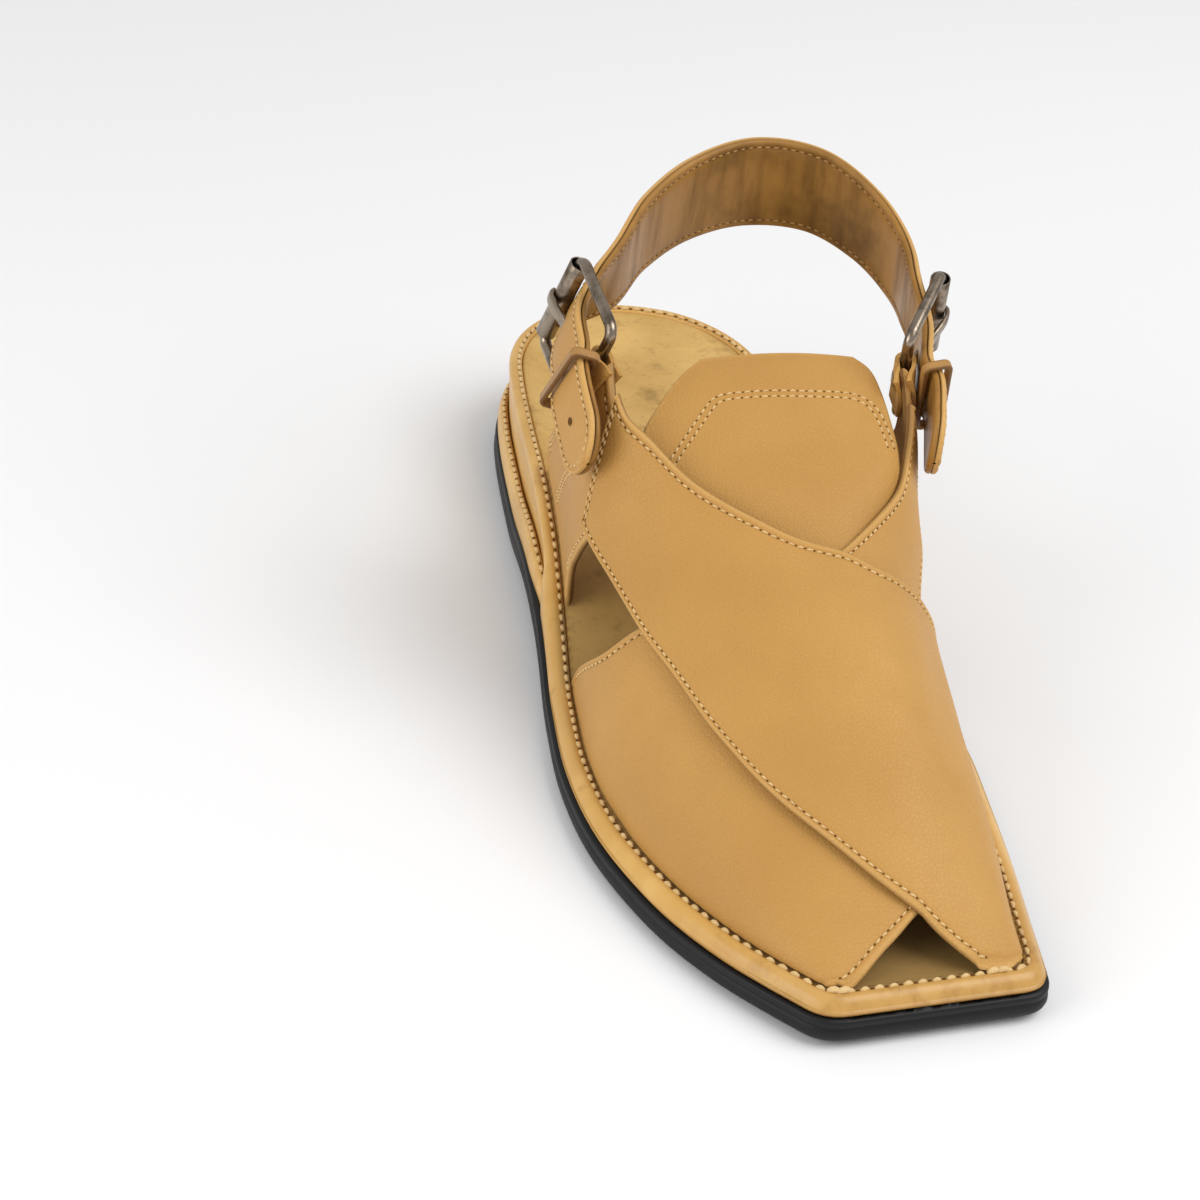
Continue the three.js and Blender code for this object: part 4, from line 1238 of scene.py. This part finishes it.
def band_place(rows, lift):
    at = between_edges(rows, "front_y front_v", "back_y back_v")

    def place(u, v, height):
        y, girth = at(u, v)
        rise = lift * ramp(girth, OVERLAY["girth"]) * ramp(y, OVERLAY["y"]) + dents(y, girth)
        return last_point(y, girth, rise + height * (1 - toe_tuck(y, girth)))

    return place


def quarter_sink(side, girth):
    return QUARTER_SINK["lift"][side] * ramp(girth, QUARTER_SINK)


def quarter_place(side):
    at = between_edges(QUARTERS[side], "front_y front_z", "rear_y rear_z")

    def place(u, v, height):
        def above_sole(share):
            y, z = at(u, share)
            return z >= feather_z(y)

        start = halved(np.zeros(np.shape(u)), np.full(np.shape(u), 0.5), above_sole)
        y, z = at(u, start + np.asarray(v) * (1 - start))
        girth = wall_girth(side, y, z)
        return last_point(y, girth, quarter_sink(side, girth) + height)

    return place


def tongue_place(u, v, height):
    y = TONGUE["y"][0] + (TONGUE["y"][-1] - TONGUE["y"][0]) * np.asarray(v)
    left, right = column(TONGUE, "left", y), column(TONGUE, "right", y)
    return tongue_point(left + (right - left) * np.asarray(u), y, height)


def tongue_point(x, y, height):
    roofs = []
    for side in (LATERAL, MEDIAL):
        girth = girth_where(y, 0, side, lambda point, s=side: (point[..., 0] - x) * s > 0)
        roofs.append(last_skin(y, girth)[..., 2])
    roof = np.where(x < column(LAST, "crown_x", y), *roofs) - TONGUE_CLEAR
    across = (x - TONGUE_ARCH["centre_x"]) / TONGUE_ARCH["half"]
    free = column(TONGUE, "crown_z", y) - TONGUE_ARCH["sag"] * across**2
    top = (free + roof - np.hypot(free - roof, TONGUE_BLEND)) / 2
    return np.stack([x, y, top - TONGUE_THICK + height], -1)


# Buckle places
def tab_middle(side):
    return WALL / 2 + QUARTER_SINK["lift"][side]


def buckle_basis(side):
    size = BUCKLES[side]
    girth = wall_girth(side, size["y"], size["z"])
    n = last_normal(size["y"], girth)
    pitch = math.radians(size["slope"])
    u = np.array([0, -math.cos(pitch), -math.sin(pitch)])
    u = unit(u - n * np.dot(u, n))
    w = unit(np.cross(n, u) * side)
    centre = last_point(size["y"], girth, tab_middle(side))
    swing = math.radians(size["splay"])
    turned_u = u * math.cos(swing) - n * math.sin(swing)
    turned_n = n * math.cos(swing) + u * math.sin(swing)
    return dict(flat=(centre, u, w, n), turned=(centre, turned_u, w, turned_n))


BASIS = {side: buckle_basis(side) for side in (LATERAL, MEDIAL)}


def spot(basis, a, b, h):
    """Points from lengths along a buckle's own axes: towards the toe, across and out."""
    centre, u, w, n = basis
    a, b, h = np.broadcast_arrays(np.asarray(a, float), b, h)
    return centre + a[..., None] * u + b[..., None] * w + h[..., None] * n


def on_wall(side, a, b, h):
    """The same lengths, but followed along the curved wall of the quarter."""
    _, u, w, _ = BASIS[side]["flat"]
    y = BUCKLES[side]["y"] + a * u[1] + b * w[1]
    z = BUCKLES[side]["z"] + a * u[2] + b * w[2]
    return last_point(y, wall_girth(side, y, z), tab_middle(side) + h)


def rounded_loop(half_a, half_b, corner, steps):
    """A rounded rectangle: places and the way out, from the middle of one corner round to it."""
    angles = (np.arange(4)[:, None] + np.linspace(0, 1, steps + 1)) * math.pi / 2
    sign_a, sign_b = np.array([[1], [-1], [-1], [1]]), np.array([[1], [1], [-1], [-1]])
    a = sign_a * (half_a - corner) + corner * np.cos(angles)
    b = sign_b * (half_b - corner) + corner * np.sin(angles)
    return tuple(grid.ravel() for grid in (a, b, np.cos(angles), np.sin(angles)))


def circle(count):
    """Cosines and sines round a closed circle."""
    angle = np.linspace(0, 2 * math.pi, count + 1)
    return np.cos(angle), np.sin(angle)


def turned_ring(basis, radius, b, count, a=0):
    """A ring about the bar's direction, from its radius at places b along it."""
    cos, sin = circle(count)
    return spot(basis, a + radius * cos[:, None], b, radius * sin[:, None])


def ringed(points, axis):
    """Repeats the first line of a grid of points at its end, so that it closes."""
    first = points[:1] if axis == 0 else points[:, :1]
    return np.concatenate([points, first], axis)


# Sole pieces
def make_outsole():
    def at_share(up):
        return lambda y: bottom_z(y) + up * (outsole_top(y) - bottom_z(y))

    rings = [sole_ring(inset, at_share(up)) for inset, up in zip(*OUTSOLE_SIDE.values())]
    under = drawn_to_middle(rings[0], at_share(0), CLOSING["tread"])
    over = drawn_to_middle(rings[-1], at_share(1), CLOSING["outsole_top"])
    points = ringed(np.stack(under + rings + over), 1)
    piece = laid_grid("rubber_sole", points, RUBBER)
    flat = np.zeros(points.shape[:2])
    flat[: len(under)] = 1
    mark(piece, "under", flat)
    belongs(sewn(piece), "rubber", "outsole")


def make_platform(seams):
    def inset_of(inset, more):
        return lambda y: inset + more * ramp(y, HEEL_STEP)

    def from_foot(above):
        return lambda y: outsole_top(y) + GAP / 2 + above * (rim_top(y) - outsole_top(y))

    rings = [sole_ring(inset_of(i, m), from_foot(a)) for i, m, a in zip(*PLATFORM_FOOT.values())]
    rings += [sole_ring(inset_of(i, m), from_rim(b)) for i, m, b in zip(*PLATFORM_RIM.values())]
    low = drawn_to_middle(rings[0], from_foot(0), CLOSING["platform_low"])
    high = drawn_to_middle(rings[-1], from_rim(PLATFORM_RIM["below"][-1]), CLOSING["platform_top"])
    points = ringed(np.stack(low + rings + high), 1)
    piece = laid_grid("wrapped_platform", points, WRAP)
    stitched, foot = np.zeros(points.shape[:2]), np.zeros(points.shape[:2])
    rim = len(low) + len(PLATFORM_FOOT["inset"])
    # Painted shade along the rim's stitch row
    shade = bell(PLATFORM_RIM["inset"], **RIM_SEAM["shade"])
    stitched[rim : rim + len(shade)] = shade[:, None]
    # Painted shade at the foot of the wall, where it meets the outsole
    foot[: rim - 1] = 1
    mark(piece, "seam", stitched)
    mark(piece, "foot", foot)
    mark(piece, "toe", ramp(points[..., 1], TOE_BURNISH))
    belongs(sewn(piece), "wrap", "platform")

    height = from_rim(RIM_SEAM["below"])
    ring, outer, inner = (
        ringed(sole_ring(RIM_SEAM[name], height), 0)
        for name in ("inset", "outer_inset", "inner_inset"))
    up = np.broadcast_to(np.array([0, 0, 1.0]), ring.shape)
    seams.row(ring, unit(up + RIM_SEAM["lean"] * unit(outer - inner)), COARSE_THREAD, closed=True)
    run, half = arc_lengths(ring), TOE_KNOTS["half_length"]
    for place in TOE_KNOTS["places"]:
        middle = run[np.argmin(np.linalg.norm(ring[:, :2] - place, axis=1))]
        path = read_along(ring, run, np.linspace(middle - half, middle + half, SAMPLES["knot"]))
        seams.row(path, up[: len(path)], KNOT_THREAD)


def make_heel_lip(seams):
    def section(inset, up):
        """One line of the lip, which sinks into the platform's wall at the waist."""
        def height(y):
            share = WELT_END["low"] + (1 - WELT_END["low"]) * ramp(y, WELT_END)
            return outsole_top(y) + GAP / 2 + up * share

        ring = sole_ring(lambda y: inset + WELT_END["sink"] * (1 - ramp(y, WELT_END)), height)
        return np.roll(ring, len(ring) // 2, axis=0)

    rings = np.stack([section(i, u) for i, u in zip(*WELT_SECTION.values())])
    kept = np.flatnonzero(rings[0, :, 1] >= WELT_END["start"])
    points = rings[:, kept].transpose(1, 0, 2)
    piece = laid_grid("heel_lip", ringed(points, 1), WRAP)
    crest = int(np.argmax(WELT_SECTION["up"]))
    row = np.zeros((len(kept), len(WELT_SECTION["up"]) + 1))
    # Painted shade along the stitch row on the lip's crest
    row[:, crest] = LIP_SEAM["shade"]
    mark(piece, "seam", row)
    sewn_part = points[ramp(points[:, 0, 1], WELT_END) > WELT_END["low"]]
    out = unit(sewn_part[:, crest - 2] - sewn_part[:, crest + 1])
    out[:, 2] = 0
    up = unit(np.array([0, 0, 1.0]) + LIP_SEAM["lean"] * out)
    seams.row(sewn_part[:, crest], up, COARSE_THREAD)
    belongs(sewn(piece, fill=True), "wrap", "heel_welt")


def make_footbed():
    rings = [sole_ring(RIM_INSET + GAP + inset, from_rim(INSOLE_DROP + below))
             for inset, below in zip(*BED_EDGE.values())]
    under = drawn_to_middle(rings[0], from_rim(INSOLE_DROP + INSOLE_THICK), CLOSING["bed_low"])
    over = drawn_to_middle(rings[-1], from_rim(INSOLE_DROP), CLOSING["bed_top"])
    points = ringed(np.stack(under + rings + over), 1)
    piece = laid_grid("footbed", points, FOOTBED)
    # Painted shade on the footbed, darker towards the toe under the bands
    mark(piece, "toe", ramp(points[..., 1], FOOTBED_SHADE))
    belongs(sewn(piece), "footbed", "insole")


# Upper
def make_sheet(sheet, name, seams, edges):
    """A sheet of the upper and its stitches: each edge gives its rows and what they leave free."""
    belongs(sheet.made(name, {edge: rows for edge, (rows, _) in edges.items()}), "leather", "upper")
    for edge, (rows, trim) in edges.items():
        for row in rows:
            seams.row(*sheet.seam_path(edge, row, trim), FINE_THREAD)


def make_upper():
    seams = Seams("upper_stitches")
    single, double = (EDGE_SEAM,), (EDGE_SEAM, EDGE_SEAM + DOUBLE_GAP)
    for name, rows, lift in (("over", OVER_BAND, OVERLAY["lift"]), ("under", UNDER_BAND, 0)):
        band = Sheet(band_place(rows, lift), WALL, SHEET_LINES["band"])
        make_sheet(band, name + "_band", seams, dict(
            front=(single, (BAND_TRIM["start"], 1 - TOE_MEETING[name])),
            rear=(single, (BAND_TRIM["start"], BAND_TRIM["end"])),
            start=(double, (BAND_TRIM["tab"], BAND_TRIM["tab"]))))
    for side in (LATERAL, MEDIAL):
        quarter = Sheet(quarter_place(side), WALL, SHEET_LINES["quarter"])
        make_sheet(quarter, "side_quarter_" + SIDE_NAMES[side], seams, dict(
            front=(single, (QUARTER_TRIM["front"], QUARTER_TRIM["tab"])),
            rear=(double, (QUARTER_TRIM["rear"], QUARTER_TRIM["tab"]))))
        y, v = spline(pairs(QUARTER_SEAM[side], "y v"), np.linspace(0, 1, SAMPLES["quarter"])).T
        path, up = last_point(y, v, quarter_sink(side, v) + WALL), last_normal(y, v)
        beside = np.cross(up, unit(np.gradient(path, axis=0)))
        for shift in (0, DOUBLE_GAP):
            seams.row(path + beside * shift, up, FINE_THREAD)
    seams.made()


def make_tongue():
    seams = Seams("tongue_stitches")
    tongue = Sheet(tongue_place, TONGUE_THICK, SHEET_LINES["tongue"])
    belongs(tongue.made("tongue_leather", {}), "leather", "tongue")
    line = spline(pairs(TONGUE_SEAM, "x y"), np.linspace(0, 1, SAMPLES["tongue"]))
    along = unit(np.gradient(line, axis=0))
    inward = np.stack([along[:, 1], -along[:, 0]], 1)
    step = LAST_STEP["y"]
    for shift in (0, DOUBLE_GAP):
        x, y = (line + inward * shift).T
        path = tongue_point(x, y, TONGUE_THICK)
        ahead = tongue_point(x + step, y, TONGUE_THICK) - path
        beside = tongue_point(x, y + step, TONGUE_THICK) - path
        seams.row(path, unit(np.cross(ahead, beside)), FINE_THREAD)
    seams.made()


# Heel strap
def strap_end(side):
    """Rows of one end, from the tip through the buckle: centre, way down and half width."""
    flat, turned = BASIS[side]["flat"], BASIS[side]["turned"]
    end = STRAP_ENDS[side]
    lean = math.tan(math.radians(end["slope"] - BUCKLES[side]["slope"]))
    over_chape = WALL / 2 + CHAPE_THICK + KEEPER_THICK + STRAP_THICK / 2 + 5 * GAP
    over_bar = WIRE_RADIUS + CHAPE_THICK + STRAP_THICK / 2 + 5 * GAP
    under_roller = ROLLER_RADIUS + STRAP_THICK / 2 + 6 * GAP
    down = unit(flat[2] - flat[1] * lean)
    tip = lambda a, h: (on_wall(side, a, a * lean, h), down, STRAP_WIDTH / 2)
    through = lambda a, h: (spot(turned, a, 0, h), flat[2], STRAP_WIDTH / 2)
    return [
        tip(TIP_LENGTH, over_chape + end["flare"]),
        tip(TIP_LENGTH * TIP_KNEE, over_chape + end["flare"] * TIP_KNEE**2),
        tip(end["keeper_at"], over_chape),
        through(0, over_bar),
        through(-FRAME_LENGTH / 2, over_bar * end["full"]),
        through(-FRAME_LENGTH, -under_roller),
    ]


def strap_rows():
    lean = np.radians(HEEL_WAY["lean"])
    down = np.stack([0 * lean, np.sin(lean), -np.cos(lean)], 1)
    heel = zip(pairs(HEEL_WAY, "x y z"), down, HEEL_WAY["half"])
    return [*strap_end(LATERAL), *heel, *strap_end(MEDIAL)[::-1]]


STRAP_AT, STRAP_DOWN, STRAP_HALF = (np.array(values) for values in zip(*strap_rows()))
STRAP_SPAN = len(STRAP_AT) - 1


def strap_frame(row):
    """Where the strap is and how it faces, at places counted in rows."""
    t = np.clip(np.asarray(row, float) / STRAP_SPAN, 0, 1)
    step = STRAP_STEP
    along = unit(way(STRAP_AT, np.minimum(t + step, 1)) - way(STRAP_AT, np.maximum(t - step, 0)))
    down = way(STRAP_DOWN, t, even=True)
    down = unit(down - along * np.sum(along * down, -1, keepdims=True))
    return way(STRAP_AT, t), along, down, np.cross(along, down)


class Strap:
    """The strap by distance along it from the lateral tip."""

    def __init__(self):
        self.rows = np.linspace(0, STRAP_SPAN, SAMPLES["strap"])
        self.run = arc_lengths(strap_frame(self.rows)[0])
        self.length = self.run[-1]

    def frame(self, run):
        return strap_frame(np.interp(run, self.run, self.rows))

    def half_at(self, run):
        half = spline(STRAP_HALF[:, None], np.interp(run, self.run, self.rows) / STRAP_SPAN)[..., 0]
        short = np.maximum(0, 1 - np.minimum(run, self.length - run) / TIP_ROUND)
        return half * np.sqrt(np.maximum(1 - short**2, STRAP_BAND["least_width"] ** 2))

    def point(self, run, across, height):
        at, _, down, out = self.frame(run)
        return at + down * np.asarray(across)[..., None] + out * np.asarray(height)[..., None]

    def from_tip(self, end, run):
        return run if end == LATERAL else self.length - run

    def stations(self):
        """Places along the strap, close together at the rounded tips."""
        tip = TIP_ROUND * (1 - np.cos(np.linspace(0, math.pi / 2, STRAP_BAND["tip_lines"])))
        body = np.linspace(TIP_ROUND, self.length - TIP_ROUND, STRAP_BAND["lines"])[1:-1]
        return np.concatenate([tip, body, self.length - tip[::-1]])


def make_strap_band(strap):
    run = strap.stations()
    half = strap.half_at(run)[:, None]
    inset, height = STRAP_EDGE["inset"], STRAP_EDGE["height"]
    edge = half - inset * np.minimum(1, half / (inset[-1] + 1))
    span = edge[:, -1:]
    inner_lines = np.linspace(1, -1, STRAP_BAND["inner_lines"] + 2)[1:-1]
    across = np.hstack([edge, span * inner_lines, -edge[:, ::-1]])
    profile = np.concatenate([height, np.full(len(inner_lines), height[-1]), height[::-1]])
    body = smooth(np.minimum(run, strap.length - run), TIP_ROUND, 2 * TIP_LENGTH)[:, None]
    full = STRAP_BAND["tip_swell"] + (1 - STRAP_BAND["tip_swell"]) * body
    swell = STRAP_SWELL * np.maximum(0, 1 - (across / np.maximum(span, 1)) ** 2) * full
    thick = profile * np.sqrt(np.clip(half / STRAP_BAND["thin_under"], STRAP_BAND["thinnest"], 1))
    lengths = np.broadcast_to(run[:, None], across.shape)
    from_edge = half - np.abs(across)
    cut = STRAP_MARKS["cut"]["share"] * ramp(profile, STRAP_MARKS["cut"])
    outer, inner = strap.point(lengths, across, thick + swell), strap.point(lengths, across, -thick)
    piece = two_sided(
        "strap_band", outer, inner, STRAP_LINING,
        rim=ramp(from_edge, STRAP_MARKS["rim"]),
        # Painted shade in the trough of the strap's first seam
        seam=bell(from_edge, STRAP_SEAM["first"], SEAM_TROUGH["wide"]),
        cut=np.broadcast_to(cut, across.shape))
    belongs(piece, "leather", "heel_strap")


def make_strap_seams(strap):
    seams = Seams("strap_stitches")
    first, second = STRAP_SEAM["first"], STRAP_SEAM["second"]
    top = STRAP_EDGE["height"][-1] - STRAP_SEAM["bedded"]

    def sew(places, across, height, tint="cream"):
        path = strap.point(places, across, np.full(len(places), height))
        seams.row(path, strap.frame(places)[3] * np.sign(height), FINE_THREAD, tint=tint)

    tip_end = TIP_LENGTH + FRAME_LENGTH
    places = np.linspace(tip_end, strap.length - tip_end, SAMPLES["strap_seam"])
    half = strap.half_at(places)
    for edge in (-1, 1):
        sew(places, edge * (half - first), top)
        sew(places, edge * (half - second), top)
        sew(places, edge * (half - first), STRAP_SEAM["under_lift"] - top, tint="tan")
    long = TIP_LENGTH + FRAME_LENGTH * STRAP_SEAM["tip_reach"]
    down = first + (long - first) * np.linspace(1, 0, SAMPLES["tip_seam"]) ** 2
    short = np.maximum(0, 1 - (down - first) / (TIP_ROUND - first))
    wide = (STRAP_WIDTH / 2 - first) * np.sqrt(np.maximum(1 - short**2, 0))
    places, across = np.concatenate([down, down[::-1]]), np.concatenate([-wide, wide[::-1]])
    for end in (LATERAL, MEDIAL):
        sew(strap.from_tip(end, places), across, top)
    seams.made()


def make_tip_holes(strap):
    """Punched holes in the tips, painted as dark discs of shade: one at each prong and one to
    spare.
    """
    holes = Seams("strap_holes")
    disc = PUNCH[0] * TIP_HOLES["radius"] * (TIP_HOLES["stretch"], 1, 1)
    height = STRAP_THICK / 2 + STRAP_SWELL + TIP_HOLES["lift"]
    for end in (LATERAL, MEDIAL):
        for a in (TIP_HOLES["first"], TIP_HOLES["second"]):
            at, *axes = strap.frame(np.array([strap.from_tip(end, TIP_LENGTH - a)]))
            holes.add(PUNCH, (at + axes[2] * height)[:, None] + disc @ np.stack(axes, 1), "hole_shade")
    holes.made()


# Buckle hardware and the leather that holds it
def make_frame(side):
    loop = rounded_loop(FRAME_LENGTH / 2, FRAME_WIDTH / 2, FRAME_ROUND, METAL_STEPS["frame_corner"])
    a, b, out_a, out_b = (line[:, None] for line in loop)
    cos, sin = circle(METAL_STEPS["wire"])
    ring = WIRE_RADIUS * cos
    points = spot(
        BASIS[side]["turned"],
        a - FRAME_LENGTH / 2 + ring * out_a,
        b + ring * out_b,
        WIRE_RADIUS * sin,
    )
    piece = laid_grid("wire_frame_" + SIDE_NAMES[side], ringed(points, 0), NICKEL)
    belongs(sewn(piece), "nickel", "buckle_frame_" + SIDE_NAMES[side])


def make_roller(side):
    bore, outside, half, lip = ROLLER_BORE, ROLLER_RADIUS, ROLLER_LENGTH / 2, ROLLER_LIP
    radius = np.array([bore, bore, bore + lip, outside - lip, outside, outside])
    b = np.array([0, half - lip, half, half, half - lip, 0])
    radius, b = np.append(radius, radius[-2::-1]), np.append(b, -b[-2::-1])
    points = turned_ring(BASIS[side]["turned"], radius, b, METAL_STEPS["roller"], -FRAME_LENGTH)
    piece = laid_grid("roller_" + SIDE_NAMES[side], points, NICKEL)
    mark(piece, "bore", np.broadcast_to(radius <= bore, points.shape[:2]))
    belongs(sewn(piece), "nickel", "buckle_roller_" + SIDE_NAMES[side])


def make_prong(side):
    """A squarish shank that bends over the roller, and an eye round the bar."""
    basis, name = BASIS[side]["turned"], SIDE_NAMES[side]
    steps = np.linspace(0, 1, METAL_STEPS["prong"] + 1)
    centre = spline(pairs(PRONG_WAY, "a h"), steps)
    size = spline(pairs(PRONG_WAY, "half thick"), steps)
    run = unit(np.gradient(centre, axis=0))
    waves = circle(METAL_STEPS["shank"])
    wide, tall = (np.sign(wave) * np.abs(wave) ** PRONG_SQUARE for wave in waves)
    rise = size[:, 1:] * tall
    a, h = centre[:, :1] + rise * run[:, 1:], centre[:, 1:] - rise * run[:, :1]
    points = spot(basis, a, size[:, :1] * wide, h)
    shank = sewn(laid_grid("prong_" + name, points, NICKEL), fill=True)
    inner, outer, half = WIRE_RADIUS + GAP / 2, WIRE_RADIUS + GAP + CHAPE_THICK, PRONG_EYE_HALF
    brow, corner = outer - PRONG_EYE_ROUND, half - PRONG_EYE_ROUND
    radius = np.array([inner, brow, outer, outer, brow, inner, inner])
    b = np.array([-half, -half, -corner, corner, half, half, -half])
    ring = turned_ring(basis, radius, b, METAL_STEPS["eye"])
    eye = sewn(laid_grid("prong_eye_" + name, ring, NICKEL))
    belongs(joined(shank, eye), "nickel", "buckle_prong_" + name)


def make_chape(side):
    basis, name = BASIS[side]["flat"], SIDE_NAMES[side]
    fold = np.linspace(0, math.pi, CHAPE_STEPS["fold"])

    def layer(thick):
        """One face of the fold: a leg on each side of the tab, and the turn round the bar."""
        reach, radius = WALL / 2 + GAP / 2 + thick, WIRE_RADIUS + GAP / 2 + thick
        legs = np.linspace(CHAPE_LENGTH, CHAPE_NECK / 2, CHAPE_STEPS["leg"])
        heights = radius + (reach - radius) * smooth(legs, 0, CHAPE_NECK)
        a = np.concatenate([legs, -radius * np.sin(fold), legs[::-1]])
        h = np.concatenate([heights, radius * np.cos(fold), -heights[::-1]])
        return np.stack([a, h], 1)

    outline = np.vstack([layer(CHAPE_THICK), layer(0)[::-1]])
    across = np.linspace(-CHAPE_WIDTH / 2, CHAPE_WIDTH / 2, CHAPE_STEPS["across"])[:, None]
    a, b, h = np.broadcast_arrays(outline[:, 0], across, outline[:, 1])
    share = smooth(a, 0, CHAPE_NECK)[..., None]
    points = spot(basis, a, b, h) * (1 - share) + on_wall(side, a, b, h) * share
    piece = sewn(laid_grid("chape_fold_" + name, ringed(points, 1), LEATHER), fill=True)
    centre, u, w, n = basis
    slot = CHAPE_SLOT
    deselect()
    bpy.ops.mesh.primitive_cube_add(size=1)
    cutter = bpy.context.object
    size = Vector((slot["end"] - slot["start"], slot["width"], 2 * slot["reach"])) * MM
    middle = Vector((centre + u * (slot["start"] + slot["end"]) / 2 + CENTRE_SHIFT) * MM)
    turn = Matrix((u, w * side, n)).transposed().to_4x4()
    cutter.data.transform(Matrix.Translation(middle) @ turn @ Matrix.Diagonal((*size, 1)))
    finished(piece, "BOOLEAN", object=cutter, operation="DIFFERENCE", solver="EXACT")
    bpy.data.objects.remove(cutter)
    bevel = CHAPE_BEVEL
    finished(
        piece, "BEVEL", width=bevel["width"] * MM, segments=bevel["segments"],
        limit_method="ANGLE", angle_limit=math.radians(bevel["over_deg"]))
    bpy.ops.object.shade_smooth_by_angle(angle=math.radians(bevel["smooth_deg"]))
    belongs(piece, "leather", "chape_" + name)


def make_keeper(side):
    name = SIDE_NAMES[side]
    row = KEEPER_ROW if side == LATERAL else STRAP_SPAN - KEEPER_ROW
    at, along, down, out = strap_frame(np.array([row]))
    half_down = STRAP_WIDTH / 2 + 2 * GAP + KEEPER_THICK / 2
    half_out = STRAP_THICK / 2 + STRAP_SWELL + 2 * GAP + KEEPER_THICK / 2
    loop = rounded_loop(half_down, half_out, KEEPER_ROUND, KEEPER_STEPS["corner"])
    a, b, out_a, out_b = (line[:, None] for line in loop)
    corner = KEEPER_EDGE["round"], KEEPER_STEPS["edge"]
    section = ringed(np.stack(rounded_loop(KEEPER_WIDTH / 2, KEEPER_THICK / 2, *corner)[:2], 1), 0)
    run = arc_lengths(section)
    places = np.linspace(0, run[-1], KEEPER_STEPS["section"], endpoint=False)
    wide, thick = read_along(section, run, places).T
    points = (
        at
        + wide[:, None] * along
        + (a + thick * out_a)[..., None] * down
        + (b + thick * out_b)[..., None] * out
    )
    piece = laid_grid("keeper_loop_" + name, ringed(ringed(points, 0), 1), CUT_LEATHER)
    cut = ramp(np.abs(wide) / (KEEPER_WIDTH / 2), KEEPER_EDGE["cut"])
    mark(piece, "cut", ringed(ringed(np.broadcast_to(cut, points.shape[:2]), 0), 1))
    belongs(sewn(piece), "leather", "keeper_" + name)


sole_seams = Seams("platform_stitches")
make_outsole()
make_platform(sole_seams)
make_heel_lip(sole_seams)
make_footbed()
sole_seams.made()
make_upper()
make_tongue()
heel_strap = Strap()
for make in (make_strap_band, make_strap_seams, make_tip_holes):
    make(heel_strap)
for shoe_side in (LATERAL, MEDIAL):
    for make in (make_frame, make_roller, make_prong, make_chape, make_keeper):
        make(shoe_side)


# Stage
def make_floor():
    deselect()
    bpy.ops.mesh.primitive_plane_add(size=FLOOR_SIZE)
    floor = bpy.context.object
    floor.name = "floor"
    pale, paler = (0.86, 0.86, 0.865, 1), (0.89, 0.89, 0.895, 1)
    floor.data.materials.append(plain_finish("studio_floor", 0.2, pale, paler, 1.5, 0.75, 0.05))
    floor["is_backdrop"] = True


def make_light(name, place, aim, size, power):
    bpy.ops.object.light_add(type="AREA", location=place)
    light = bpy.context.object
    light.name = name
    light.data.shape = "DISK"
    light.data.size = size
    light.data.energy = power
    light.rotation_euler = (Vector(aim) - Vector(place)).to_track_quat("-Z", "Y").to_euler()


def make_world(strength):
    world = bpy.data.worlds.new("studio")
    bpy.context.scene.world = world
    world.use_nodes = True
    backdrop = world.node_tree.nodes["Background"]
    backdrop.inputs["Color"].default_value = (1, 1, 1, 1)
    backdrop.inputs["Strength"].default_value = strength


def make_camera():
    """The camera at the photo's angle to the shoe, rolled as the shoe is there."""
    bpy.ops.object.camera_add()
    camera = bpy.context.object
    camera.name = "camera"
    axes = Matrix((CAMERA["right"], CAMERA["up"], CAMERA["back"])).transposed()
    camera.matrix_world = Matrix.Translation(Vector(CAMERA["place"]) * MM) @ axes.to_4x4()
    camera.data.sensor_width = CAMERA["sensor"]
    camera.data.lens = CAMERA["lens"]
    bpy.context.scene.camera = camera


make_floor()
make_world(WORLD_STRENGTH)
for light_name, light_sizes in LIGHTS.items():
    make_light(light_name, **light_sizes)
make_camera()
bpy.context.scene.view_settings.view_transform = "Standard"
bpy.context.view_layer.update()

VISUAL_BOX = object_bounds()
boxes = {"cad": CAD_BOX, "visual": VISUAL_BOX}
{name: [list(corner) for corner in box] for name, box in boxes.items()}
